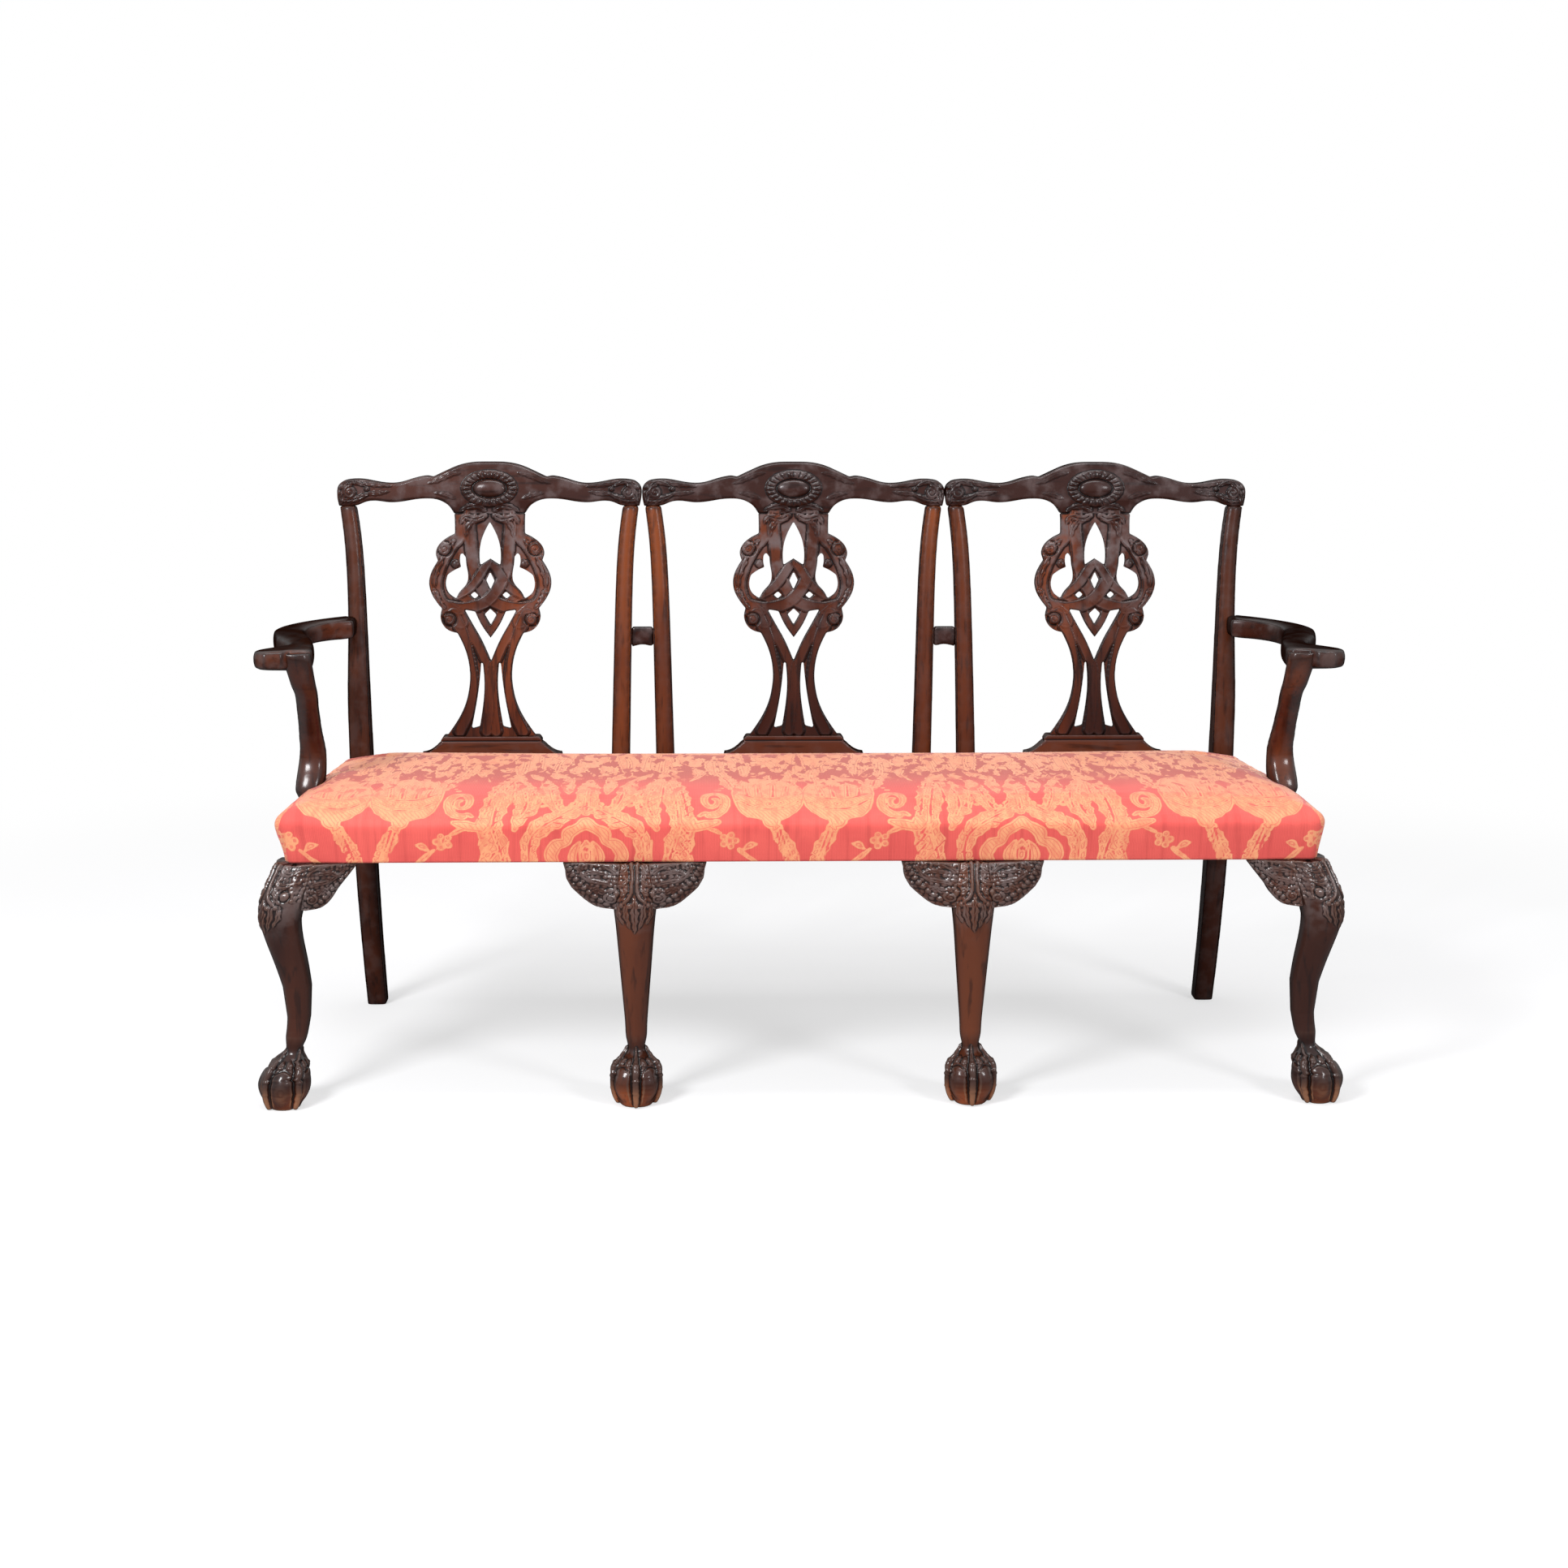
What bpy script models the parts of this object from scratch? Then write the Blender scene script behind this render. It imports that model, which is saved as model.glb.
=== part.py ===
# Triple chair-back settee: carved mahogany frame, tight upholstered seat.
# Metres, +Z up. The settee faces -Y and stands on the floor at z = 0.
# Heights are real heights; y = 0 is the outer face of the front seat rail until the last lines.

import math

import bmesh
import bpy
from mathutils import Matrix, Vector

# Driving dimensions of the whole settee
HEIGHT = 0.968
CHAIR_PITCH = 0.527
SEAT_FLARE = 0.0603
SEAT_DEPTH = 0.532
CLEARANCE = 0.0003
JOIN_OVERLAP = 0.004
CUT_REACH = 0.020

# Seat frame
RAIL_BOTTOM = 0.3875
RAIL_HEIGHT = 0.0595
RAIL_THICKNESS = 0.030
REAR_RAIL_LEDGE = 0.028
POST_WIDTH = 0.044
TENON_THICKNESS = 0.010
TENON_SETBACK = 0.009
TENON_SHOULDER = 0.008
TENON_LENGTH = 0.018
BRACE_WIDTH = 0.030
BRACE_HEIGHT = 0.034
BRACE_DROP = 0.014
BRACE_TENON = 0.008
BLOCK_REACH = 0.060
BLOCK_HEIGHT = 0.034

# Back: lean, stiles and rear legs
BACK_RAKE = 0.061
LEAN_CURVE = 1.3
STILE_FOOT_WIDTH = 0.0320
STILE_TOP_WIDTH = 0.0280
STILE_FOOT_DEPTH = 0.036
STILE_TOP_DEPTH = 0.026
STILE_FOOT_INSET = 0.0230
STILE_MID_INSET = 0.0145
STILE_TOP_INSET = 0.0050
STILE_CHAMFER = 0.003
STILE_TENON = 0.020
STILE_TENON_SHOULDER = 0.006
OUTER_STILE_EXTRA = 0.0065
OUTER_STILE_DEPTH = 0.046
REAR_LEG_SWEEP = 0.060
REAR_LEG_INWARD = 0.012
REAR_FOOT_WIDTH = 0.034
REAR_FOOT_DEPTH = 0.040
TIE_HEIGHT = 0.684
TIE_DEPTH = 0.034
TIE_THICKNESS = 0.020
TIE_SETBACK = 0.0053
TIE_BOW = 0.004
TIE_TENON = 0.010
TIE_TENON_SHOULDER = 0.006

# Crest rails
CREST_THICKNESS = 0.027
CREST_EDGE = 0.003
CREST_DEPTH = 0.088
CREST_CROWN = 0.045
CREST_SHOULDER = 0.098
CREST_STEP = 0.0255
CREST_DIP = 0.0375
EAR_RISE = 0.0295
EAR_DEPTH = 0.075
EAR_LENGTH = 0.057
CREST_HOLLOW = 0.0620
CREST_BELLY = 0.0695
CREST_LIP = 0.001
CABOCHON_LENGTH = 0.088
CABOCHON_HEIGHT = 0.058
CABOCHON_RAISE = 0.006
CABOCHON_DROP = 0.0445

# Splats and shoes
SPLAT_WIDTH = 0.212
SPLAT_THICKNESS = 0.013
SPLAT_SETBACK = 0.005
SPLAT_TONGUE = 0.012
SPLAT_TONGUE_WIDTH = 0.090
SPLAT_NECK = 57.5
SHOE_TOP = 0.4963
SHOE_TOP_WIDTH = 0.164
SHOE_FOOT_WIDTH = 0.224
SHOE_DEPTH = 0.034
SHOE_FILLET = 0.010

# Arms and their supports
ARM_TOP = 0.705
ARM_THICKNESS = 0.035
ARM_EDGE = 0.009
ARM_ELBOW = 0.095
ARM_HAND = 0.083
ARM_WIDTH = 0.052
ARM_FRONT = 0.085
ARM_GRIP = 0.110
ARM_LAP = 0.017
ARM_WRAP = 0.014
SUPPORT_BACK = 0.268
SUPPORT_FRONT = 0.138
SUPPORT_FOOT_WIDTH = 0.036
SUPPORT_FOOT_DEPTH = 0.060
SUPPORT_NECK_WIDTH = 0.028
SUPPORT_NECK_DEPTH = 0.034
SUPPORT_TOP_WIDTH = 0.036
SUPPORT_BOW = 0.012
SUPPORT_CHAMFER = 0.007
SUPPORT_HOUSING = 0.006
SUPPORT_LIFT = 0.008
SUPPORT_TENON = 0.016
SUPPORT_TENON_WIDTH = 0.018

# Front legs and knee brackets
KNEE_HEIGHT = 0.335
KNEE_OUT = 0.020
KNEE_WIDTH = 0.070
LEG_TOP_OUT = 0.004
LEG_TOP_WIDTH = 0.067
CALF_HEIGHT = 0.285
CALF_OUT = 0.0245
CALF_WIDTH = 0.060
SHIN_HEIGHT = 0.215
SHIN_OUT = 0.0178
SHIN_WIDTH = 0.049
ANKLE_HEIGHT = 0.115
ANKLE_OUT = 0.0122
ANKLE_WIDTH = 0.033
ANKLE_BEAD = 0.002
FOOT_HEIGHT = 0.090
FOOT_OUT = 0.029
BALL_WIDTH = 0.079
BALL_HEIGHT = 0.037
SOLE_WIDTH = 0.050
CLAW_RAISE = 0.0035
LEG_TENON_WIDTH = 0.028
LEG_TENON_HEIGHT = 0.030
BRACKET_REACH = 0.114
BRACKET_DROP = 0.070
BRACKET_THICKNESS = 0.021
BRACKET_SETBACK = 0.004
BRACKET_SWELL = 0.018
BRACKET_BITE = 0.024

# Upholstery
COVER_THICKNESS = 0.0018
COVER_HEM = 0.0005
SEAT_CORNER_RADIUS = 0.016
SEAT_REAR_RADIUS = 0.0015
SEAT_BULGE = 0.009
FLANK_BELOW = 0.004
FLANK_ABOVE = 0.007
PAD_INSET = 0.004
PAD_EDGE = 0.003
SEAT_EDGE_RISE = 0.024
SEAT_CROWN = 0.034
SEAT_EDGE_ROUND = 0.036
SEAT_CROWN_REACH = 0.170
WEB_THICKNESS = 0.0015
WEB_WIDTH = 0.050
WEB_LENGTHWISE = 3
WEB_CROSSWISE = 7
WEB_MARGIN = 0.018
HESSIAN_THICKNESS = 0.0010
HESSIAN_MARGIN = 0.008
DUST_CLOTH_THICKNESS = 0.0008
DUST_CLOTH_LAP = 0.012
NOTCH_MARGIN = 0.006

# Screws
SCREW_SHANK = 0.0050
SCREW_HEAD = 0.0100
SCREW_HEAD_HEIGHT = 0.0030
SCREW_HEAD_PROUD = 0.0010
SCREW_POINT = 0.006
SCREW_TIP = 0.0020
ARM_SCREW_LENGTH = 0.062
SUPPORT_SCREW_LENGTH = 0.036
SUPPORT_SCREW_SPACING = 0.024

# Fineness of the curved surfaces, in steps or points
CORNER_STEPS = 3
OUTLINE_STEPS = 3
SPLAT_STEPS = 2
ARM_STEPS = 2
REAR_LEG_ROWS = 6
STILE_ROWS = 10
LEG_POINTS = 16
LEG_ROWS = 13
SUPPORT_ROWS = 14
SUPPORT_LOWER_ROWS = 7
CABOCHON_POINTS = 14
CABOCHON_ROWS = 6
RING_FRONT = 14
RING_SIDE = 6
SCREW_SIDES = 8


def mix(a, b, t):
    return a + (b - a) * t


# Values that follow from the driving dimensions
CHAIR_CENTRES = (-CHAIR_PITCH, 0.0, CHAIR_PITCH)
SIDES = (("left", -1), ("right", 1))
RAIL_TOP = RAIL_BOTTOM + RAIL_HEIGHT
EAR_REACH = CHAIR_PITCH / 2 - CLEARANCE / 2
CREST_JOINT = HEIGHT - CREST_DEPTH
STILE_JOINT = HEIGHT - EAR_DEPTH
BACK_Y = SEAT_DEPTH + COVER_THICKNESS + 2 * CLEARANCE
SEAT_REAR_WIDTH = 2 * (CHAIR_PITCH + EAR_REACH - STILE_FOOT_INSET + OUTER_STILE_EXTRA)
SEAT_FRONT_WIDTH = SEAT_REAR_WIDTH + SEAT_FLARE
ARM_BOTTOM = ARM_TOP - ARM_THICKNESS
POST_CENTRE = POST_WIDTH / 2
INNER_LEG_X = CHAIR_PITCH / 2
OUTER_LEG_X = SEAT_FRONT_WIDTH / 2 - POST_CENTRE
NECK_HALF = SPLAT_WIDTH / 2 * SPLAT_NECK / 100
ARM_ROOT_X = SEAT_REAR_WIDTH / 2
ELBOW_X = ARM_ROOT_X + ARM_ELBOW
ELBOW_Y = mix(ARM_FRONT, SEAT_DEPTH, 0.72)
HAND_X = ARM_ROOT_X + ARM_HAND
NOTCH_Y = ARM_FRONT + ARM_GRIP
DIAGONAL = math.sqrt(0.5)
SHARP = "VECTOR"


# Scene, collections and materials
for old in list(bpy.data.objects):
    bpy.data.objects.remove(old, do_unlink=True)
parts = bpy.data.collections.new("chair_back_settee")
cutters = bpy.data.collections.new("cutters")
bpy.context.scene.collection.children.link(parts)
bpy.context.scene.collection.children.link(cutters)
root = bpy.data.objects.new("settee_root", None)
parts.objects.link(root)


def finish(name, colour, roughness, metallic=0.0):
    material = bpy.data.materials.new(name)
    material.use_nodes = True
    shader = material.node_tree.nodes["Principled BSDF"]
    shader.inputs["Base Color"].default_value = (*colour, 1.0)
    shader.inputs["Roughness"].default_value = roughness
    shader.inputs["Metallic"].default_value = metallic
    return material


mahogany = finish("mahogany", (0.115, 0.042, 0.022), 0.32)
beech = finish("beech", (0.46, 0.31, 0.18), 0.6)
damask = finish("damask", (0.80, 0.20, 0.14), 0.75)
stuffing = finish("stuffing", (0.42, 0.36, 0.28), 0.95)
jute = finish("jute", (0.42, 0.31, 0.18), 0.9)
cambric = finish("cambric", (0.03, 0.03, 0.03), 0.9)
steel = finish("steel", (0.32, 0.30, 0.28), 0.45, 1.0)


# Helpers that make meshes
def lean(z):
    share = max(0.0, z - RAIL_TOP) / (HEIGHT - RAIL_TOP)
    return BACK_Y + BACK_RAKE * share ** LEAN_CURVE


def lean_back(bm):
    for vert in bm.verts:
        vert.co.y += lean(vert.co.z)


def piece(name, bm, material, smooth_angle=0.6):
    bmesh.ops.recalc_face_normals(bm, faces=bm.faces)
    mesh = bpy.data.meshes.new(name)
    bm.to_mesh(mesh)
    bm.free()
    mesh.materials.append(material)
    mesh.shade_smooth()
    mesh.set_sharp_from_angle(angle=smooth_angle)
    item = bpy.data.objects.new(name, mesh)
    parts.objects.link(item)
    item.parent = root
    return item


def cutter(name, bm):
    bmesh.ops.recalc_face_normals(bm, faces=bm.faces)
    mesh = bpy.data.meshes.new(name)
    bm.to_mesh(mesh)
    bm.free()
    item = bpy.data.objects.new(name, mesh)
    cutters.objects.link(item)
    item.parent = root
    item.hide_render = True
    item.display_type = "WIRE"
    return item


def combine(target, bm, operation):
    tool = cutter(f"{target.name}_{operation.lower()}_{len(target.modifiers)}", bm)
    step = target.modifiers.new(operation.lower(), "BOOLEAN")
    step.operation = operation
    step.object = tool


def cut(target, bm):
    combine(target, bm, "DIFFERENCE")


def join(target, bm):
    combine(target, bm, "UNION")


def add_box(bm, low, high, grow=0.0):
    low = Vector(low) - Vector((grow, grow, grow))
    high = Vector(high) + Vector((grow, grow, grow))
    place = Matrix.Translation((low + high) / 2) @ Matrix.Diagonal((*(high - low), 1.0))
    return bmesh.ops.create_cube(bm, size=1.0, matrix=place)["verts"]


def boxes(*corner_pairs, grow=0.0):
    bm = bmesh.new()
    for low, high in corner_pairs:
        add_box(bm, low, high, grow)
    return bm


def loft(rings):
    bm = bmesh.new()
    rows = [[bm.verts.new(point) for point in ring] for ring in rings]
    count = len(rows[0])
    for lower, upper in zip(rows, rows[1:]):
        for i in range(count):
            j = (i + 1) % count
            bm.faces.new((lower[i], lower[j], upper[j], upper[i]))
    bm.faces.new(reversed(rows[0]))
    bm.faces.new(rows[-1])
    return bm


def prism(corners, z0, z1):
    return loft([[Vector((x, y, z)) for x, y in corners] for z in (z0, z1)])


def outline_solid(loops, thickness, steps, edge=0.0, edge_steps=0):
    curve = bpy.data.curves.new("outline", "CURVE")
    curve.dimensions = "2D"
    curve.fill_mode = "BOTH"
    curve.resolution_u = steps
    curve.extrude = thickness / 2 - edge
    curve.bevel_depth = edge
    curve.bevel_resolution = edge_steps
    curve.offset = -edge
    for loop in loops:
        spline = curve.splines.new("BEZIER")
        spline.bezier_points.add(len(loop) - 1)
        spline.use_cyclic_u = True
        for point, knot in zip(spline.bezier_points, loop):
            point.co = (knot[0], knot[1], 0.0)
            kind = knot[2] if len(knot) > 2 else "AUTO"
            point.handle_left_type = kind
            point.handle_right_type = kind
    holder = bpy.data.objects.new("outline", curve)
    parts.objects.link(holder)
    bpy.context.view_layer.update()
    mesh = bpy.data.meshes.new_from_object(holder.evaluated_get(bpy.context.evaluated_depsgraph_get()))
    bpy.data.objects.remove(holder)
    bm = bmesh.new()
    bm.from_mesh(mesh)
    bpy.data.meshes.remove(mesh)
    bmesh.ops.remove_doubles(bm, verts=bm.verts, dist=0.00005)
    return bm


def upright(bm, front):
    for vert in bm.verts:
        vert.co = Vector((vert.co.x, front - vert.co.z, vert.co.y))


def mirrored(half):
    back = [(-knot[0], *knot[1:]) for knot in reversed(half) if knot[0] > 0]
    return half + back


def track(keys, count):
    def slope(a, b, column):
        return (b[column] - a[column]) / (b[0] - a[0])

    rows = []
    last = len(keys) - 1
    for i in range(count):
        place = i / (count - 1) * last
        k = min(int(place), last - 1)
        t = place - k
        start, end = keys[k], keys[k + 1]
        before = keys[max(k - 1, 0)]
        after = keys[min(k + 2, last)]
        span = end[0] - start[0]
        row = [mix(start[0], end[0], t)]
        for column in range(1, len(start)):
            leave = slope(before, end, column) * span
            arrive = slope(start, after, column) * span
            middle = mix(start[column], end[column], ease(t))
            row.append(middle + t * (1 - t) * (leave * (1 - t) - arrive * t))
        rows.append(row)
    return rows


def ease(t):
    t = min(1.0, max(0.0, t))
    return t * t * (3 - 2 * t)


def chamfered_ring(x0, x1, y0, y1, z, chamfer):
    c = chamfer
    corners = ((x0 + c, y0), (x1 - c, y0), (x1, y0 + c), (x1, y1 - c))
    corners += ((x1 - c, y1), (x0 + c, y1), (x0, y1 - c), (x0, y0 + c))
    return [Vector((x, y, z)) for x, y in corners]


def side_face(y):
    return mix(SEAT_FRONT_WIDTH, SEAT_REAR_WIDTH, y / SEAT_DEPTH) / 2


def corner_arc(inset, rear_inset=None):
    at_rear = rear_inset is not None
    radius = SEAT_REAR_RADIUS if at_rear else SEAT_CORNER_RADIUS
    middle_y = SEAT_DEPTH - rear_inset - radius if at_rear else inset + radius
    middle_x = side_face(middle_y) - inset - radius
    start = 0.0 if at_rear else -90.0
    arc = []
    for i in range(CORNER_STEPS + 1):
        angle = math.radians(start + 90.0 * i / CORNER_STEPS)
        arc.append((middle_x + radius * math.cos(angle), middle_y + radius * math.sin(angle)))
    return arc


# Stiles and rear legs
def stile_ring(z, side, chair_x, outer, grow=0.0, narrow=0.0):
    share = max(0.0, z - RAIL_TOP) / (STILE_JOINT - RAIL_TOP)
    drop = max(0.0, RAIL_BOTTOM - z) / RAIL_BOTTOM
    flare = STILE_MID_INSET - STILE_TOP_INSET
    inset = mix(STILE_FOOT_INSET, STILE_MID_INSET, share) - flare * min(share, 1.0) ** 8
    inner = EAR_REACH - inset - mix(STILE_FOOT_WIDTH, STILE_TOP_WIDTH, share)
    edge = EAR_REACH - inset
    depth = mix(STILE_FOOT_DEPTH, STILE_TOP_DEPTH, share)
    if outer:
        edge += OUTER_STILE_EXTRA * (1 - ease((share - 0.2) / 0.45))
        depth = mix(OUTER_STILE_DEPTH, STILE_TOP_DEPTH, share)
        full_width = edge - inner
        edge -= REAR_LEG_INWARD * drop
        inner = edge - mix(full_width, REAR_FOOT_WIDTH, drop)
        depth = mix(depth, REAR_FOOT_DEPTH, drop)
    front = lean(z) + REAR_LEG_SWEEP * drop * drop
    inner += narrow - grow
    edge += grow - narrow
    front += narrow - grow
    depth += 2 * (grow - narrow)
    x0, x1 = sorted((chair_x + side * inner, chair_x + side * edge))
    return chamfered_ring(x0, x1, front, front + depth, z, min(STILE_CHAMFER, depth / 5))


def stile_rings(side, chair_x, outer):
    top = STILE_JOINT - CLEARANCE
    rings = []
    if outer:
        for i in range(REAR_LEG_ROWS + 1):
            rings.append(stile_ring(RAIL_BOTTOM * i / REAR_LEG_ROWS, side, chair_x, True))
    else:
        for z in (RAIL_TOP - STILE_TENON, RAIL_TOP + CLEARANCE):
            rings.append(stile_ring(z, side, chair_x, False, narrow=STILE_TENON_SHOULDER))
    for i in range(STILE_ROWS + 1):
        z = mix(RAIL_TOP + CLEARANCE, top, i / STILE_ROWS)
        rings.append(stile_ring(z, side, chair_x, outer))
    for z in (top, STILE_JOINT + STILE_TENON):
        rings.append(stile_ring(z, side, chair_x, outer, narrow=STILE_TENON_SHOULDER))
    return rings


def grown_outer_stile(side):
    heights = (ARM_BOTTOM - CUT_REACH, mix(ARM_BOTTOM, ARM_TOP, 0.5), ARM_TOP + CUT_REACH)
    return loft([stile_ring(z, side, side * CHAIR_PITCH, True, grow=CLEARANCE) for z in heights])


def stile_mortise(side, chair_x, outer, low, high):
    grown = STILE_TENON_SHOULDER - CLEARANCE
    foot = stile_ring(low, side, chair_x, outer, narrow=grown)
    head = stile_ring(high, side, chair_x, outer, narrow=grown)
    reach = Vector((0.0, 0.0, CUT_REACH))
    gap = Vector((0.0, 0.0, CLEARANCE))
    if low < RAIL_TOP:
        return loft([[v - gap for v in foot], head, [v + reach for v in head]])
    return loft([[v - reach for v in foot], foot, [v + gap for v in head]])


outer_stiles = {}
for word, side in SIDES:
    rings = stile_rings(side, side * CHAIR_PITCH, True)
    outer_stiles[side] = piece(f"outer_stile_{word}", loft(rings), mahogany)

inner_stiles = {}
INNER_PLACES = (
    ("left_a", -CHAIR_PITCH, 1),
    ("left_b", 0.0, -1),
    ("right_a", 0.0, 1),
    ("right_b", CHAIR_PITCH, -1),
)
for word, chair_x, side in INNER_PLACES:
    rings = stile_rings(side, chair_x, False)
    inner_stiles[word] = piece(f"inner_stile_{word}", loft(rings), mahogany)


# Tie rails between the paired inner stiles
def tie_outline(x0, x1):
    low = TIE_HEIGHT - TIE_DEPTH
    waist = (x0 + x1) / 2
    return [
        (x0, TIE_HEIGHT, SHARP),
        (x1, TIE_HEIGHT, SHARP),
        (x1, low, SHARP),
        (waist, low + TIE_BOW),
        (x0, low, SHARP),
    ]


for pair, left, right in (("left", "left_a", "left_b"), ("right", "right_a", "right_b")):
    middle = -CHAIR_PITCH / 2 if pair == "left" else CHAIR_PITCH / 2
    face = max(v.x for v in stile_ring(TIE_HEIGHT, 1, 0.0, False))
    low_face = max(v.x for v in stile_ring(TIE_HEIGHT - TIE_DEPTH, 1, 0.0, False))
    gap = CHAIR_PITCH / 2 - max(face, low_face) - CLEARANCE
    front = lean(TIE_HEIGHT) + TIE_SETBACK
    tie = outline_solid([tie_outline(middle - gap, middle + gap)], TIE_THICKNESS, OUTLINE_STEPS)
    upright(tie, front + TIE_THICKNESS / 2)
    tie_rail = piece(f"stile_tie_{pair}", tie, mahogany)
    reach = gap + TIE_TENON
    inset = TIE_TENON_SHOULDER
    tenon_low = (middle - reach, front + inset, TIE_HEIGHT - TIE_DEPTH + inset)
    tenon_high = (middle + reach, front + TIE_THICKNESS - inset, TIE_HEIGHT - inset)
    join(tie_rail, boxes((tenon_low, tenon_high)))
    for word in (left, right):
        cut(inner_stiles[word], boxes((tenon_low, tenon_high), grow=CLEARANCE))


# Crest rails
def crest_outline():
    hip = EAR_REACH - EAR_LENGTH
    dip = mix(CREST_SHOULDER, hip, 0.63)
    stile_out = EAR_REACH - STILE_TOP_INSET + CREST_LIP
    stile_in = stile_out - STILE_TOP_WIDTH - 2 * CREST_LIP
    return mirrored([
        (0.0, HEIGHT),
        (CREST_CROWN, HEIGHT - 0.12 * CREST_STEP),
        (0.83 * CREST_SHOULDER, HEIGHT - 0.69 * CREST_STEP),
        (CREST_SHOULDER, HEIGHT - CREST_STEP, SHARP),
        (1.13 * CREST_SHOULDER, HEIGHT - 0.92 * CREST_STEP),
        (dip, HEIGHT - CREST_DIP),
        (EAR_REACH - 0.32 * EAR_LENGTH, HEIGHT - EAR_RISE),
        (EAR_REACH, mix(HEIGHT - EAR_RISE, STILE_JOINT, 0.33)),
        (stile_out, STILE_JOINT, SHARP),
        (stile_in, STILE_JOINT, SHARP),
        (hip, HEIGHT - 0.95 * CREST_BELLY),
        (dip, HEIGHT - CREST_BELLY),
        (1.04 * CREST_SHOULDER, HEIGHT - CREST_HOLLOW),
        (1.2 * NECK_HALF, mix(HEIGHT - CREST_HOLLOW, CREST_JOINT, 0.38)),
        (NECK_HALF, CREST_JOINT, SHARP),
    ])


def cabochon(chair_x):
    bm = bmesh.new()
    middle = Vector((chair_x, 0.0, HEIGHT - CABOCHON_DROP))
    size = Vector((CABOCHON_LENGTH / 2, CABOCHON_RAISE, CABOCHON_HEIGHT / 2))
    place = Matrix.Translation(middle) @ Matrix.Diagonal((*size, 1.0))
    points, rows = CABOCHON_POINTS, CABOCHON_ROWS
    bmesh.ops.create_uvsphere(bm, u_segments=points, v_segments=rows, radius=1.0, matrix=place)
    lean_back(bm)
    return bm


def splat_slot(chair_x, z0, z1):
    half = SPLAT_TONGUE_WIDTH / 2
    low = (chair_x - half, SPLAT_SETBACK, z0)
    high = (chair_x + half, SPLAT_SETBACK + SPLAT_THICKNESS, z1)
    slot = boxes((low, high), grow=CLEARANCE)
    lean_back(slot)
    return slot


CHAIR_NAMES = ("left", "middle", "right")
for word, chair_x in zip(CHAIR_NAMES, CHAIR_CENTRES):
    crest = outline_solid([crest_outline()], CREST_THICKNESS, OUTLINE_STEPS, CREST_EDGE)
    upright(crest, CREST_THICKNESS / 2)
    for vert in crest.verts:
        vert.co.x = chair_x + min(EAR_REACH, max(-EAR_REACH, vert.co.x))
    lean_back(crest)
    crest_rail = piece(f"crest_rail_{word}", crest, mahogany)
    join(crest_rail, cabochon(chair_x))
    for side in (-1, 1):
        outer = abs(chair_x + side * EAR_REACH) > CHAIR_PITCH
        low = STILE_JOINT - CLEARANCE
        cut(crest_rail, stile_mortise(side, chair_x, outer, low, STILE_JOINT + STILE_TENON))
    cut(crest_rail, splat_slot(chair_x, CREST_JOINT - CUT_REACH, CREST_JOINT + SPLAT_TONGUE))


# Splats: pierced strapwork drawn on a grid of hundredths of half the width and of the height
def splat_loops():
    half = SPLAT_WIDTH / 2
    low = SHOE_TOP + CLEARANCE
    high = CREST_JOINT - CLEARANCE

    def on_grid(knots):
        return [(u / 100 * half, mix(low, high, v / 100), *kind) for u, v, *kind in knots]

    def pair(knots):
        right = on_grid(knots)
        return [right, [(-x, z, *kind) for x, z, *kind in right]]

    tongue = SPLAT_TONGUE_WIDTH / 2
    edge = [(tongue, low - SPLAT_TONGUE, SHARP), (tongue, low, SHARP)]
    edge += on_grid([
        (73, 0, SHARP), (57, 6.2), (43, 13.6), (36, 21), (34, 29), (41, 39), (54, 46.5, SHARP),
        (71, 48), (82, 53), (79, 57.5, SHARP), (97, 64.5), (99, 72), (85, 79, SHARP),
        (89, 83), (77, 88), (57, 91, SHARP), (57, 96), (SPLAT_NECK, 100, SHARP),
    ])
    edge += [(tongue, high, SHARP), (tongue, high + SPLAT_TONGUE, SHARP)]
    teardrop = on_grid([(0, 79.7, SHARP), (16.5, 76.8, SHARP), (18, 82), (13, 89.5), (0, 96.4, SHARP)])
    diamond = on_grid([(0, 65.8, SHARP), (7, 70, SHARP), (0, 74, SHARP)])
    triangle = on_grid([(0, 50, SHARP), (10, 54.8, SHARP), (0, 57.4, SHARP)])
    vee = on_grid([
        (0, 33.7, SHARP), (14, 42.8), (29, 50), (43, 57, SHARP), (25, 56.2, SHARP),
        (14.7, 50), (0, 44.4, SHARP),
    ])
    loops = [mirrored(edge), mirrored(teardrop), mirrored(diamond), mirrored(triangle), mirrored(vee)]
    loops += pair([
        (45, 82.5), (50, 79), (48, 76, SHARP), (70, 72.5), (71, 65), (56, 61.8, SHARP),
        (51, 65, SHARP), (36, 69.5), (39, 77),
    ])
    loops += pair([(26, 61.7, SHARP), (33, 63.4, SHARP), (26, 65.1, SHARP), (19, 63.4, SHARP)])
    loops += pair([(15, 37.5, SHARP), (10, 22), (19, 4.2, SHARP), (33, 3.2, SHARP), (21, 20)])
    return loops


for word, chair_x in zip(CHAIR_NAMES, CHAIR_CENTRES):
    splat = outline_solid(splat_loops(), SPLAT_THICKNESS, SPLAT_STEPS)
    upright(splat, SPLAT_SETBACK + SPLAT_THICKNESS / 2)
    bmesh.ops.translate(splat, verts=splat.verts, vec=(chair_x, 0.0, 0.0))
    lean_back(splat)
    piece(f"splat_{word}", splat, mahogany)


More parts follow.
